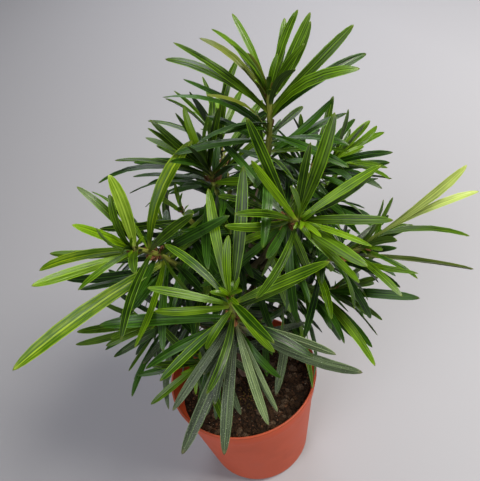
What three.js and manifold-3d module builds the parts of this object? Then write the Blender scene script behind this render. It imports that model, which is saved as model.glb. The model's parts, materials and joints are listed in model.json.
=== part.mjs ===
// A young yew plum pine (Podocarpus macrophyllus) in its round plastic nursery pot.
// Millimetres, +Z up. The origin is the centre of the pot's flat underside.
// Each limb, each mass of foliage, the pot and the soil is one closed solid with its own name.
import * as THREE from "three";
import { mergeVertices } from "three/addons/utils/BufferGeometryUtils.js";
import Module from "manifold-3d";

const wasm = await Module();
wasm.setup();

// ---------------------------------------------------------------- driving dimensions

const CLEARANCE = 0.3; // between solids that meet, such as a bough and the trunk

const POT = {
  height: 76,
  rimRadius: 45,
  collarHeight: 12,
  collarStep: 0.8,
  baseRadius: 32,
  footHeight: 4,
  footStep: 0.6,
  wall: 1.3,
  floor: 3,
  sides: 40,
  drainHoles: 6,
  drainRadius: 3.2,
  drainCircle: 20,
  channelWidth: 5,
  channelDepth: 1.2,
};

const SOIL = {
  level: 63,
  crumbs: 1.2, // height of the crumbs that lie on it
  crownRadius: 20, // the soil is level inside this radius, round the trunk
  rimDrop: 2.5, // and lies this much lower at the pot's wall
  sides: 32,
};

// The trunk leans to the right as it rises from the soil into the leader.
const TRUNK = {
  path: [
    [3, 10, SOIL.level + CLEARANCE],
    [1, 8, 112],
    [14, 5, 158],
    [33, 3, 212],
  ],
  footRadius: 3.7,
  tipRadius: 1.7,
  flare: 0.55, // extra share of the radius at the root flare
  flareHeight: 0.12, // share of the trunk's length that the flare takes
};

// Boughs leave the trunk at a share of its length, and curve up to their tips.
// Each mass of foliage grows on from a bough's tip to its own bud.
const BOUGHS = {
  front: { at: 0.3, tip: [3, -30, 150], radius: 2.3 },
  left: { at: 0.4, tip: [-17, -4, 176], radius: 2.1 },
  low_left: { at: 0.24, tip: [-18, 4, 127], radius: 1.9 },
  right: { at: 0.5, tip: [50, -9, 157], radius: 2.1 },
  middle: { at: 0.62, tip: [33, -16, 194], radius: 1.9 },
  upper_left: { at: 0.68, tip: [11, 10, 202], radius: 1.7 },
  upper_right: { at: 0.74, tip: [50, 8, 196], radius: 1.7 },
  low_right: { at: 0.34, tip: [33, 2, 122], radius: 1.9 },
  centre_left: { at: 0.52, tip: [1, 4, 176], radius: 1.7 },
  centre_right: { at: 0.58, tip: [46, 8, 172], radius: 1.7 },
  low_front: { at: 0.18, tip: [-7, -13, 116], radius: 1.7 },
  back: { at: 0.56, tip: [18, 34, 182], radius: 1.9 },
  back_left: { at: 0.44, tip: [-9, 30, 146], radius: 1.8 },
  back_right: { at: 0.44, tip: [42, 32, 152], radius: 1.9 },
};
const BOUGH_TIP_SHARE = 0.72; // tip radius over foot radius
const BOUGH_SAG = 0.2; // how far a bough's middle hangs below its chord, over its length

// One row for each mass: where its bud is, how many more leaves its stem carries besides the aimed
// ones, how long they are, how far they open from the stem at its foot and at its bud, and the
// seed of its random draws. Its longest and most forward leaves are aimed: each has its share of
// the stem, its bearing round the plant, its rise over the horizontal and its length, and where it
// matters its arch, its roll and its width over the usual one.
const MASSES = {
  top: {
    bough: null, bud: [41, 1, 256], leaves: 14, length: 46, open: [106, 20], seed: 180,
    aimed: [
      [0.92, 107, 53, 38, 0.06, 40], [0.9, 160, 63, 39, 0.1, 0], [0.85, 132, 40, 42, 0.14, 20],
      [0.75, 167, 48, 51, 0.1, -10], [0.6, 145, 30, 44, 0.08], [0.5, 176, 38, 52, 0.14, 10],
      [0.45, -162, 54, 42, 0.16, 20], [0.92, 55, 40, 36, 0], [0.95, 45, 40, 39, 0.03],
      [0.88, 32, 39, 38, -0.06, -10], [0.8, -13, 41, 49, 0.04, 50], [0.7, 7, 19, 50, 0.12, 0],
      [0.68, -27, 32, 47, 0.18, 10, 1.2], [0.3, 3, 29, 38, -0.1, 0], [0.2, 10, 15, 44],
      [0.8, 135, 20, 57, 0.09], [0.93, 150, 75, 24, 0.06],
    ],
  },
  front: {
    bough: "front", bud: [3, -46, 191], leaves: 10, length: 46, open: [107, 50], seed: 281,
    aimed: [
      [0.95, 85, 42, 50, 0.02], [0.9, 62, 54, 59, 0], [0.85, 130, 32, 41], [0.8, 167, 2, 36],
      [0.75, -154, -35, 22, 0.1], [0.5, -150, -29, 51, 0.02, 10], [0.3, -137, -33, 65, 0.03, -10],
      [0.3, -117, -40, 61, 0.02, 5], [0.35, -86, -45, 50, 0.03, -15], [0.3, -76, -45, 46, 0.03, 25],
      [0.9, -54, -45, 30, 0.08], [0.4, -24, -24, 50, 0.04, 40], [0.25, -28, -24, 65, 0.03, 40],
      [0.85, -18, 28, 50, -0.05], [0.5, 170, 7, 63, 0.05], [0.65, -159, -25, 46, 0.04, -10],
      [0.5, -129, -41, 41, 0.02, 20],
    ],
  },
  left: {
    bough: "left", bud: [-34, -14, 204], leaves: 14, length: 48, open: [116, 24], seed: 362,
    aimed: [
      [0.95, 91, 76, 37, 0.02, 40, 1.6], [0.95, -167, 51, 33, 0.05, 30, 1.3],
      [0.9, 175, 1, 47, 0.09, 20, 1.25], [0.8, -155, 17, 52, -0.05, -20],
      [0.15, 178, 7, 52, -0.1, 0], [0.1, -173, 9, 47, -0.08, 10], [0.3, -145, 5, 86, 0.02, -30, 1.1],
      [0.7, 35, 44, 55, 0.12, -5, 1.25], [0.7, 125, 35, 41, 0.14, 50],
      [0.2, -172, -11, 57, 0.12, -10], [0.4, -116, -17, 48, -0.04, 10], [0.98, 137, 86, 31, 0.14, 0],
    ],
  },
  low_left: {
    bough: "low_left", bud: [-37, 0, 138], leaves: 18, length: 46, open: [108, 16], seed: 181,
    aimed: [
      [0.9, 177, -3, 50, 0.08, -30], [0.8, -165, 25, 50], [0.6, 180, -10, 45], [0.5, -150, 10, 43],
      [0.4, -155, -25, 44], [0.3, -140, 0, 36],
    ],
  },
  right: {
    bough: "right", bud: [74, -18, 170], leaves: 13, length: 42, open: [118, 24], seed: 332,
    aimed: [
      [0.8, -14, 40, 68, 0.06, -10, 0.88], [0.7, -10, 25, 69, 0.1, -30, 0.75],
      [0.6, -21, 10, 61, 0.12, -50],
      [0.5, -24, -6, 66, 0.02, -35], [0.5, -44, 7, 42, -0.05, 10], [0.9, -60, 40, 30], [0.3, -25, -25, 41],
      [0.5, 0, -10, 33], [0.5, 20, 10, 36],
    ],
  },
  middle: {
    bough: "middle", bud: [40, -34, 211], leaves: 14, length: 48, open: [112, 50], seed: 305,
    aimed: [
      [0.9, 145, 60, 34, 0.03], [0.7, 125, 70, 50, 0.03], [0.85, 20, 60, 49, 0.02, 0, 1.2],
      [0.9, 0, 25, 42, 0.03],
      [0.6, -35, 10, 46, 0.02, 30], [0.7, -55, -10, 40, 0.04, 20, 1.3], [0.6, -60, -70, 28, 0.03],
      [0.5, -160, -55, 30, 0.02, -25], [0.7, -170, 20, 32, 0.12], [0.5, 155, 25, 33, 0.05, 35],
    ],
  },
  upper_left: {
    bough: "upper_left", bud: [9, 14, 218], leaves: 20, length: 48, open: [113, 18], seed: 288,
    aimed: [
      [0.9, 165, 55, 37], [0.9, -30, 80, 30], [0.7, 177, 27, 46, 0.06, 0],
      [0.6, 175, 15, 55, 0.12, 20], [0.8, 140, 25, 37], [0.3, 175, 12, 42, 0.12, 20],
    ],
  },
  upper_right: {
    bough: "upper_right", bud: [68, 6, 208], leaves: 14, length: 38, open: [105, 24], seed: 68,
    aimed: [
      [0.6, 15, 40, 31], [0.9, -20, 70, 31], [0.8, 15, 15, 34], [0.7, 5, 5, 40], [0.6, -30, 20, 39, 0.1],
      [0.5, -5, -5, 39], [0.3, -40, 5, 39, 0.12], [0.2, -80, -20, 42],
    ],
  },
  low_right: {
    bough: "low_right", bud: [62, -4, 130], leaves: 18, length: 44, open: [110, 20], seed: 313,
    aimed: [
      [0.9, -70, -5, 38], [0.7, -70, -21, 50, 0.06, 25, 1.3], [0.5, -40, -45, 37],
      [0.2, -95, -35, 49, 0.03, 0],
      [0.75, -35, 10, 54, 0.06, 10], [0.15, -120, -30, 52, 0.03, 10],
    ],
  },
  centre_left: {
    bough: "centre_left", bud: [-8, 3, 204], leaves: 22, length: 44, open: [113, 34], seed: 113, aimed: [],
  },
  centre_right: {
    bough: "centre_right", bud: [66, 14, 186], leaves: 20, length: 42, open: [105, 34], seed: 213, aimed: [],
  },
  low_front: {
    bough: "low_front", bud: [-20, -28, 130], leaves: 16, length: 42, open: [108, 29], seed: 329, aimed: [],
  },
  back: {
    bough: "back", bud: [20, 56, 206], leaves: 22, length: 52, open: [100, 22], seed: 356,
    aimed: [[0.9, 165, 65, 39], [0.9, 170, 75, 30], [0.8, 50, 60, 41]],
  },
  back_left: {
    bough: "back_left", bud: [-22, 50, 160], leaves: 18, length: 48, open: [108, 46], seed: 78, aimed: [],
  },
  back_right: {
    bough: "back_right", bud: [66, 46, 172], leaves: 22, length: 54, open: [116, 28], seed: 64, aimed: [],
  },
};

// The lanes through the crown that stay open to the light. Aimed leaves may cross them, and the
// others keep clear.
const LANES = [
  { from: [-6, -60, 256], to: [-12, 90, 146], radius: 3 },
  { from: [0, -60, 255], to: [0, 90, 144], radius: 3 },
  { from: [-19, -60, 263], to: [-36, 90, 159], radius: 3 },
  { from: [-17, -60, 257], to: [-33, 90, 147], radius: 2 },
  { from: [58, -60, 238], to: [112, 90, 112], radius: 2.5 },
  { from: [65, -60, 239], to: [125, 90, 113], radius: 3.5 },
  { from: [18, -60, 221], to: [35, 90, 78], radius: 1 },
  { from: [46, -60, 201], to: [88, 90, 40], radius: 1.2 },
  { from: [45, -60, 279], to: [85, 90, 190], radius: 2.5 },
];

const STEM = { footRadius: 1.45, budRadius: 0.95, sides: 5, rings: 4, firstLeaf: 0.14 };

const LEAF = {
  stations: [0, 0.3, 0.86, 1], // where a faceted leaf has its rings, over its length
  widthShare: 0.094, // full width over length
  leastWidth: 3.9,
  mostWidth: 6.6,
  petiole: 0.22, // half-width at the root, over the half-width of the blade
  widest: 0.62, // where the blade is widest, over the length
  thickness: 1.0,
  goldenAngle: 137.508,
  arch: 0.07, // how far the middle stands off the chord, over the length
  aimedArch: 0.06,
  aimedRoll: 24, // the aimed leaves are rolled up to this to either side, in uneven steps
  roll: 34, // and the others up to this
  shortest: 0.62, // length of the youngest leaf, over the longest
  droop: 0.3, // how far the oldest leaves hang
  space: 1.2, // free room kept round every other mass, on top of both thicknesses
};

const LIGHT = [0, -0.6, 0.8]; // the leaves turn their upper faces to it

const COLOURS = { pot: 0xb8583a, soil: 0x33261d, bark: 0x7d6450, green: 0x3f7a2a };

// ---------------------------------------------------------------- small helpers

const vec = (p) => new THREE.Vector3(...p);
const mix = (a, b, t) => a + (b - a) * t;
const radians = (degrees) => (degrees * Math.PI) / 180;

// A unit direction, from its bearing round the plant and its rise over the horizontal.
function direction(bearing, rise) {
  const level = Math.cos(radians(rise));
  const round = radians(bearing);
  return new THREE.Vector3(level * Math.cos(round), level * Math.sin(round), Math.sin(radians(rise)));
}

// A stream of even random numbers from 0 to 1, the same on every run.
function stream(seed) {
  let state = seed >>> 0;
  return () => {
    state = (state + 0x6d2b79f5) >>> 0;
    let t = state;
    t = Math.imul(t ^ (t >>> 15), t | 1);
    t ^= t + Math.imul(t ^ (t >>> 7), t | 61);
    return ((t ^ (t >>> 14)) >>> 0) / 4294967296;
  };
}

// Two directions across a limb, from the world axis that lies least along it.
function acrossOf(curve, t) {
  const chord = curve.getPoint(1).sub(curve.getPoint(0));
  const sizes = [Math.abs(chord.x), Math.abs(chord.y), Math.abs(chord.z)];
  const reference = new THREE.Vector3().setComponent(sizes.indexOf(Math.min(...sizes)), 1);
  const along = curve.getTangent(t);
  const u = new THREE.Vector3().crossVectors(reference, along).normalize();
  const v = new THREE.Vector3().crossVectors(along, u);
  return { along, u, v };
}

function solidOf(geometry) {
  const bare = geometry.clone();
  bare.deleteAttribute("normal");
  bare.deleteAttribute("uv");
  const merged = mergeVertices(bare);
  return new wasm.Manifold(
    new wasm.Mesh({
      numProp: 3,
      vertProperties: merged.attributes.position.array,
      triVerts: new Uint32Array(merged.index.array),
    }),
  );
}

function geometryOf(solid) {
  const { vertProperties, triVerts } = solid.getMesh();
  const geometry = new THREE.BufferGeometry();
  geometry.setAttribute("position", new THREE.BufferAttribute(vertProperties, 3));
  geometry.setIndex(new THREE.BufferAttribute(triVerts, 1));
  geometry.computeVertexNormals();
  return geometry;
}

// ---------------------------------------------------------------- limbs

// A round limb along a curve: a cylinder whose rings are moved onto the curve.
function limbSolid(curve, radiusAt, sides, rings) {
  const geometry = new THREE.CylinderGeometry(1, 1, 1, sides, rings);
  const place = geometry.attributes.position;
  for (let i = 0; i < place.count; i++) {
    const t = place.getY(i) + 0.5;
    const { u, v } = acrossOf(curve, t);
    const point = curve.getPoint(t);
    point.addScaledVector(u, place.getZ(i) * radiusAt(t));
    point.addScaledVector(v, place.getX(i) * radiusAt(t));
    place.setXYZ(i, point.x, point.y, point.z);
  }
  return solidOf(geometry);
}

const trunkCurve = new THREE.CubicBezierCurve3(...TRUNK.path.map(vec));

function trunkRadius(t) {
  const nearFoot = Math.max(0, 1 - t / TRUNK.flareHeight);
  return mix(TRUNK.footRadius, TRUNK.tipRadius, t) * (1 + TRUNK.flare * nearFoot * nearFoot);
}

// A bough starts on the trunk's axis and rises to its tip, lowest in its middle.
function boughCurve({ at, tip }) {
  const foot = trunkCurve.getPoint(at);
  const end = vec(tip);
  const bend = foot.clone().lerp(end, 0.5);
  bend.z -= BOUGH_SAG * foot.distanceTo(end);
  return new THREE.QuadraticBezierCurve3(foot, bend, end);
}

// A stem goes on from its bough's tip, in the bough's own direction, and bends to its bud.
function stemCurve({ bough, bud }) {
  const parent = bough ? boughCurve(BOUGHS[bough]) : trunkCurve;
  const heading = parent.getTangent(1);
  const foot = parent.getPoint(1).addScaledVector(heading, CLEARANCE);
  const end = vec(bud);
  const bend = foot.clone().addScaledVector(heading, 0.45 * foot.distanceTo(end));
  return new THREE.QuadraticBezierCurve3(foot, bend, end);
}

const stemRadius = (t) => mix(STEM.footRadius, STEM.budRadius, t);
const boughRadius = (radius) => (t) => mix(radius, radius * BOUGH_TIP_SHARE, t);

// ---------------------------------------------------------------- leaves

// Half-width of a leaf at a share s of its length, over its greatest half-width: it widens slowly
// past its middle, runs on nearly parallel, and closes in a blunt point.
function outline(s) {
  if (s < LEAF.widest) return mix(LEAF.petiole, 1, Math.sin((Math.PI * s) / (2 * LEAF.widest)) ** 0.9);
  return (1 - ((s - LEAF.widest) / (1 - LEAF.widest)) ** 2.6) ** 0.6;
}

// A leaf is its root, its tip, the point that pulls its middle up, its side direction and width.
function makeLeaf(root, heading, length, facing, arch, roll, breadth) {
  const chord = heading.clone().normalize();
  const side = new THREE.Vector3().crossVectors(chord, facing).normalize();
  side.applyAxisAngle(chord, roll);
  const face = new THREE.Vector3().crossVectors(side, chord);
  const tip = root.clone().addScaledVector(chord, length);
  const bend = root.clone().lerp(tip, 0.5).addScaledVector(face, 2 * arch * length);
  const width = breadth * Math.min(Math.max(length * LEAF.widthShare, LEAF.leastWidth), LEAF.mostWidth);
  const spine = new THREE.QuadraticBezierCurve3(root, bend, tip);
  return { spine, side, face, halfWidth: width / 2 };
}

// A leaf with a flat upper face and a keel for its midrib underneath.
function leafSolid(leaf) {
  const rings = LEAF.stations.length - 1;
  const geometry = new THREE.ConeGeometry(1, 1, 3, rings, false, Math.PI);
  const place = geometry.attributes.position;
  for (let i = 0; i < place.count; i++) {
    const s = LEAF.stations[Math.round((place.getY(i) + 0.5) * rings)];
    const share = 1 - Math.round((place.getY(i) + 0.5) * rings) / rings;
    const across = share ? place.getX(i) / share / Math.sin(Math.PI / 3) : 0;
    const through = share ? ((place.getZ(i) / share) * 2) / 3 : 0;
    const point = leaf.spine.getPoint(s);
    point.addScaledVector(leaf.side, across * leaf.halfWidth * outline(s));
    point.addScaledVector(leaf.face, through * LEAF.thickness);
    place.setXYZ(i, point.x, point.y, point.z);
  }
  return solidOf(geometry);
}

// ---------------------------------------------------------------- room between the masses

// Every limb and every accepted leaf, as lines with a radius.
const lines = [];

function addLine(owner, points, radius, leaf) {
  const box = new THREE.Box3().setFromPoints(points).expandByScalar(radius);
  lines.push({ owner, points, radius, leaf, box });
}

function addLimbLine(owner, curve, radiusAt) {
  const pieces = 8;
  for (let i = 0; i < pieces; i++) {
    const ends = [curve.getPoint(i / pieces), curve.getPoint((i + 1) / pieces)];
    addLine(owner, ends, radiusAt(i / pieces), false);
  }
}

// The two edges and the midrib of a leaf, from its first free station to its tip.
function leafLines(leaf) {
  return [-1, 0, 1].map((edge) =>
    LEAF.stations.map((s) =>
      leaf.spine.getPoint(s).addScaledVector(leaf.side, edge * leaf.halfWidth * outline(s)),
    ),
  );
}

// The shortest distance between segments ab and cd.
function segmentGap(a, b, c, d) {
  const ab = b.clone().sub(a);
  const cd = d.clone().sub(c);
  const ca = a.clone().sub(c);
  const abab = ab.dot(ab);
  const cdcd = cd.dot(cd);
  const abcd = ab.dot(cd);
  const abca = ab.dot(ca);
  const cdca = cd.dot(ca);
  const scale = abab * cdcd - abcd * abcd;
  let s = scale > 1e-9 ? THREE.MathUtils.clamp((abcd * cdca - abca * cdcd) / scale, 0, 1) : 0;
  let t = (abcd * s + cdca) / cdcd;
  if (t < 0 || t > 1) {
    t = THREE.MathUtils.clamp(t, 0, 1);
    s = THREE.MathUtils.clamp((abcd * t - abca) / abab, 0, 1);
  }
  return ca.addScaledVector(ab, s).addScaledVector(cd, -t).length();
}

// Radius of the pot's outer wall at a height.
const potRadius = (z) => mix(POT.baseRadius, POT.rimRadius, z / POT.height);

// Whether a point is in or close to the pot's wall or the soil.
function inPot(point) {
  const room = 2.5;
  const reach = Math.hypot(point.x, point.y);
  const outside = potRadius(point.z) + room;
  const inside = potRadius(point.z) - POT.wall - POT.collarStep - room;
  if (point.z < SOIL.level + SOIL.crumbs + room) return reach < outside;
  return point.z < POT.height + room && reach < outside && reach > inside;
}

// Whether a leaf of a mass would touch another mass, a limb, the pot or its own neighbours.
function isFree(leaf, owner) {
  const own = leafLines(leaf);
  const box = new THREE.Box3().setFromPoints(own.flat()).expandByScalar(4);
  for (const line of own)
    for (let i = 1; i < line.length; i++)
      for (const share of [0, 0.5, 1])
        if (inPot(line[i - 1].clone().lerp(line[i], share))) return false;
  for (const other of lines) {
    if (!other.box.intersectsBox(box)) continue;
    const sameMass = other.owner === owner;
    if (sameMass && !other.leaf) continue;
    const first = sameMass ? 2 : 1;
    const room = LEAF.thickness / 2 + other.radius + (sameMass ? 0.2 : LEAF.space);
    for (const line of own)
      for (let i = first; i < line.length; i++)
        for (let j = other.leaf ? first : 1; j < other.points.length; j++)
          if (segmentGap(line[i - 1], line[i], other.points[j - 1], other.points[j]) < room) return false;
  }
  return true;
}

// ---------------------------------------------------------------- the growing rule

// A leaf that has no room is turned a little, then raised, then cut shorter, and then skipped.
const TRIES = [];
for (const size of [1, 0.86, 0.72])
  for (const lift of [0, -12, 12])
    for (const turn of [0, 12, -12, 24, -24]) TRIES.push({ turn, lift, size });

function placeLeaf(mass, at, headingOf, length, arch, roll, breadth = 1) {
  const root = mass.curve.getPoint(at);
  const facing = mass.curve.getTangent(at).add(vec(LIGHT));
  for (const { turn, lift, size } of TRIES) {
    const leaf = makeLeaf(root, headingOf(turn, lift), length * size, facing, arch, roll, breadth);
    if (!isFree(leaf, mass.name)) continue;
    leafLines(leaf).forEach((points) => addLine(mass.name, points, LEAF.thickness / 2, true));
    mass.leaves.push(leaf);
    return;
  }
}

function aimLeaf(mass, [at, bearing, rise, length, arch = LEAF.aimedArch, roll, breadth], index) {
  const headingOf = (turn, lift) => direction(bearing + turn / 2, rise - lift / 2);
  const step = (index * LEAF.goldenAngle) / 360;
  const stepped = mix(-LEAF.aimedRoll, LEAF.aimedRoll, step - Math.floor(step));
  placeLeaf(mass, at, headingOf, length, arch, radians(roll ?? stepped), breadth);
}

// Leaf number k of a mass: the oldest at the stem's foot, the youngest at its bud.
function growLeaf(mass, k) {
  const { leaves, length, open } = mass.rule;
  const age = 1 - (k + 0.5) / leaves;
  const draws = Array.from({ length: 5 }, mass.random);
  const at = mix(STEM.firstLeaf, 0.98, 1 - age ** 1.25);
  const azimuth = mass.phase + k * LEAF.goldenAngle + mix(-12, 12, draws[0]);
  const opening = mix(open[1], open[0], age) + mix(-9, 9, draws[1]);
  const grown = Math.sin(Math.PI * Math.min(0.5, age * 0.9));
  const size = mix(LEAF.shortest, 1, grown) * mix(0.86, 1.1, draws[2]);
  const headingOf = (turn, lift) => {
    const { along, u, v } = acrossOf(mass.curve, at);
    const round = radians(azimuth + turn);
    const spread = radians(opening + lift);
    const heading = along.clone().multiplyScalar(Math.cos(spread));
    heading.addScaledVector(u, Math.sin(spread) * Math.cos(round));
    heading.addScaledVector(v, Math.sin(spread) * Math.sin(round));
    heading.z -= LEAF.droop * age;
    return heading;
  };
  const arch = LEAF.arch * mix(0.3, 1.4, draws[3]);
  placeLeaf(mass, at, headingOf, length * size, arch, radians(mix(-LEAF.roll, LEAF.roll, draws[4])));
}

const masses = Object.entries(MASSES).map(([name, rule]) => {
  const random = stream(rule.seed);
  return {
    name,
    rule,
    random,
    phase: 360 * random(),
    curve: stemCurve(rule),
    leaves: [],
  };
});

addLimbLine("trunk", trunkCurve, trunkRadius);
for (const [name, bough] of Object.entries(BOUGHS)) {
  addLimbLine(`bough_${name}`, boughCurve(bough), boughRadius(bough.radius));
}
for (const mass of masses) addLimbLine(mass.name, mass.curve, stemRadius);

for (const mass of masses) mass.rule.aimed.forEach((aim, index) => aimLeaf(mass, aim, index));
for (const { from, to, radius } of LANES) {
  addLimbLine("lane", new THREE.LineCurve3(vec(from), vec(to)), () => radius);
}
for (const mass of masses) for (let k = 0; k < mass.rule.leaves; k++) growLeaf(mass, k);

// ---------------------------------------------------------------- pot and soil

function latheSolid(profile, sides) {
  const geometry = new THREE.LatheGeometry(profile.map((p) => new THREE.Vector2(...p)), sides);
  return solidOf(geometry.rotateX(Math.PI / 2));
}

function potSolid() {
  const { height, rimRadius, collarHeight, collarStep, baseRadius, footHeight, footStep, wall, floor } = POT;
  const collarFoot = potRadius(height - collarHeight);
  let solid = latheSolid(
    [
      [0, 0],
      [baseRadius - footStep - 1, 0],
      [baseRadius - footStep, 1],
      [potRadius(footHeight) - footStep, footHeight - 1],
      [potRadius(footHeight), footHeight],
      [collarFoot - collarStep, height - collarHeight],
      [collarFoot, height - collarHeight + 1],
      [rimRadius, height - 0.5],
      [rimRadius - 0.5, height],
      [rimRadius - wall, height],
      [collarFoot - collarStep - wall, height - collarHeight],
      [baseRadius - wall, floor],
      [0, floor],
    ],
    POT.sides,
  );
  // A channel runs from each drain hole out past the foot.
  const channelLength = baseRadius - POT.drainCircle + 6;
  for (let i = 0; i < POT.drainHoles; i++) {
    const hole = new THREE.CylinderGeometry(POT.drainRadius, POT.drainRadius, 4 * floor, 12);
    const channel = new THREE.BoxGeometry(channelLength, POT.channelWidth, 2 * POT.channelDepth);
    const turn = (i * 2 * Math.PI) / POT.drainHoles;
    hole.rotateX(Math.PI / 2).translate(POT.drainCircle, 0, 0).rotateZ(turn);
    channel.translate(POT.drainCircle + channelLength / 2, 0, 0).rotateZ(turn);
    solid = solid.subtract(solidOf(hole)).subtract(solidOf(channel));
  }
  return solid;
}

function soilSolid() {
  const low = POT.floor + CLEARANCE;
  const innerLow = POT.baseRadius - POT.wall - CLEARANCE;
  const innerHigh = potRadius(SOIL.level) - POT.collarStep - POT.wall - 2 * CLEARANCE;
  return latheSolid(
    [
      [0, low],
      [innerLow - CLEARANCE, low],
      [innerHigh, SOIL.level - SOIL.rimDrop],
      [mix(innerHigh, SOIL.crownRadius, 0.3), SOIL.level - 0.3 * SOIL.rimDrop],
      [SOIL.crownRadius, SOIL.level],
      [0, SOIL.level],
    ],
    SOIL.sides,
  );
}

// ---------------------------------------------------------------- the whole plant

const finish = {
  pot: new THREE.MeshStandardMaterial({ color: COLOURS.pot, roughness: 0.55, metalness: 0 }),
  soil: new THREE.MeshStandardMaterial({ color: COLOURS.soil, roughness: 1, metalness: 0 }),
  bark: new THREE.MeshStandardMaterial({ color: COLOURS.bark, roughness: 0.85, metalness: 0 }),
  green: new THREE.MeshStandardMaterial({ color: COLOURS.green, roughness: 0.45, metalness: 0 }),
};

const plant = new THREE.Group();

function addPiece(name, solid, material) {
  const mesh = new THREE.Mesh(geometryOf(solid), material);
  mesh.name = name;
  plant.add(mesh);
}

addPiece("pot", potSolid(), finish.pot);
addPiece("soil", soilSolid(), finish.soil);
addPiece("trunk", limbSolid(trunkCurve, trunkRadius, 10, 14), finish.bark);

// The trunk grown by the clearance, which trims the foot of each bough to a saddle.
const trunkRoom = limbSolid(trunkCurve, (t) => trunkRadius(t) + CLEARANCE, 10, 14);
for (const [name, bough] of Object.entries(BOUGHS)) {
  const limb = limbSolid(boughCurve(bough), boughRadius(bough.radius), 7, 5);
  addPiece(`bough_${name}`, limb.subtract(trunkRoom), finish.bark);
}

// Crowded leaf roots can close in a small hollow: only the outer skin of the fused mass is kept.
function outerSkin(solid) {
  return solid.decompose().reduce((largest, skin) => (skin.volume() > largest.volume() ? skin : largest));
}

for (const mass of masses) {
  const stem = limbSolid(mass.curve, stemRadius, STEM.sides, STEM.rings);
  const solid = mass.leaves.reduce((joined, leaf) => joined.add(leafSolid(leaf)), stem);
  addPiece(`foliage_${mass.name}`, outerSkin(solid), finish.green);
}

export default plant;
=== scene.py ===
"""A young yew plum pine in its round nursery pot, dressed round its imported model.

Sizes are in millimetres until a mesh is made, and every mesh is in metres. +Z is up, the origin is
the centre of the pot's flat underside, and the plant's front looks along -Y. The leaves grow by
the same rule and from the same sizes as the solids, so each fine leaf lies where its solid does.
"""
from __future__ import annotations

import json
import logging
import math
from dataclasses import dataclass, field
from enum import Enum
from typing import Callable, Iterator, Sequence, Union

import bmesh
import bpy
import numpy as np
from mathutils import Matrix, Vector, noise

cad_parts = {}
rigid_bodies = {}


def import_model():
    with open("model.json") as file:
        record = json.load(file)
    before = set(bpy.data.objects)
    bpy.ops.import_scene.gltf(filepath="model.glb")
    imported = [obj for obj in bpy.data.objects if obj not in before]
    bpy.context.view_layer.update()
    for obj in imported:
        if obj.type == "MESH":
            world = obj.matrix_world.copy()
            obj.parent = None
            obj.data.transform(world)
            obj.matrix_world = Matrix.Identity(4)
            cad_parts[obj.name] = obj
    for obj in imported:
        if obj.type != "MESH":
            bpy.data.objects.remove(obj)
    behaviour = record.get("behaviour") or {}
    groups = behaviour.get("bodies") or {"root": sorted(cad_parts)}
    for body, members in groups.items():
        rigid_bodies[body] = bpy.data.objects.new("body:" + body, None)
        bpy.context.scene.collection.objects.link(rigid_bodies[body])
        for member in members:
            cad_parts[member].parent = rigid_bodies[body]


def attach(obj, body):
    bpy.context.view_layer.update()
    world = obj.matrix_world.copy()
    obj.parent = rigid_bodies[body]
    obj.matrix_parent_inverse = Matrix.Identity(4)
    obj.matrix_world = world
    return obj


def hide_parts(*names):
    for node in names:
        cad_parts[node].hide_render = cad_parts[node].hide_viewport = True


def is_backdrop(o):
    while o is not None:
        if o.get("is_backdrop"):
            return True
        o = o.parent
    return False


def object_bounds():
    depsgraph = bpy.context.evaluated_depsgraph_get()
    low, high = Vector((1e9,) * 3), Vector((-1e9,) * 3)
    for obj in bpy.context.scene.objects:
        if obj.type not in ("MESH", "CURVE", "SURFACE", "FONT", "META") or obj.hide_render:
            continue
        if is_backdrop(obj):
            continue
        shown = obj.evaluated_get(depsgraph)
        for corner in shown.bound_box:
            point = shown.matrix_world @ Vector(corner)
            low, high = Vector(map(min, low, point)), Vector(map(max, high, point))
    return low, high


LOG = logging.getLogger("podocarpus")
MM = 0.001
Array = np.ndarray
Triple = tuple[float, float, float]


# ------------------------------------------------------------------ small helpers


def mix(low: float, high: float, share: float) -> float:
    """Value at a share of the way from low to high."""
    return low + (high - low) * share


def unit(vector: Array) -> Array:
    """The vector at length one."""
    return vector / math.sqrt(float(vector @ vector))


def turned(vector: Array, axis: Array, angle: float) -> Array:
    """The vector turned round a unit axis by an angle in radians."""
    cosine, sine = math.cos(angle), math.sin(angle)
    return vector * cosine + np.cross(axis, vector) * sine + axis * (axis @ vector) * (1 - cosine)


def direction(bearing: float, rise: float) -> Array:
    """Unit direction from a bearing round the plant and a rise over the horizontal.

    Args:
        bearing: degrees from +X, anticlockwise seen from above.
        rise: degrees over the horizontal.

    Returns:
        The direction.
    """
    level = math.cos(math.radians(rise))
    turn = math.radians(bearing)
    return np.array([level * math.cos(turn), level * math.sin(turn), math.sin(math.radians(rise))])


def smooth(share: float) -> float:
    """A share from 0 to 1 with soft ends."""
    share = min(1.0, max(0.0, share))
    return share * share * (3 - 2 * share)


class Stream:
    """Even random numbers from 0 to 1, the same on every run."""

    BITS = 0xFFFFFFFF

    def __init__(self, seed: int) -> None:
        """Starts the stream at a seed."""
        self.state = seed & self.BITS

    def __call__(self) -> float:
        """Draws the next number.

        Returns:
            A number from 0 to 1.
        """
        self.state = (self.state + 0x6D2B79F5) & self.BITS
        word = self.state
        word = ((word ^ (word >> 15)) * (word | 1)) & self.BITS
        word ^= (word + (((word ^ (word >> 7)) * (word | 61)) & self.BITS)) & self.BITS
        return ((word ^ (word >> 14)) & self.BITS) / 4294967296

    def between(self, low: float, high: float) -> float:
        """The next number, from low to high."""
        return mix(low, high, self())


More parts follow.
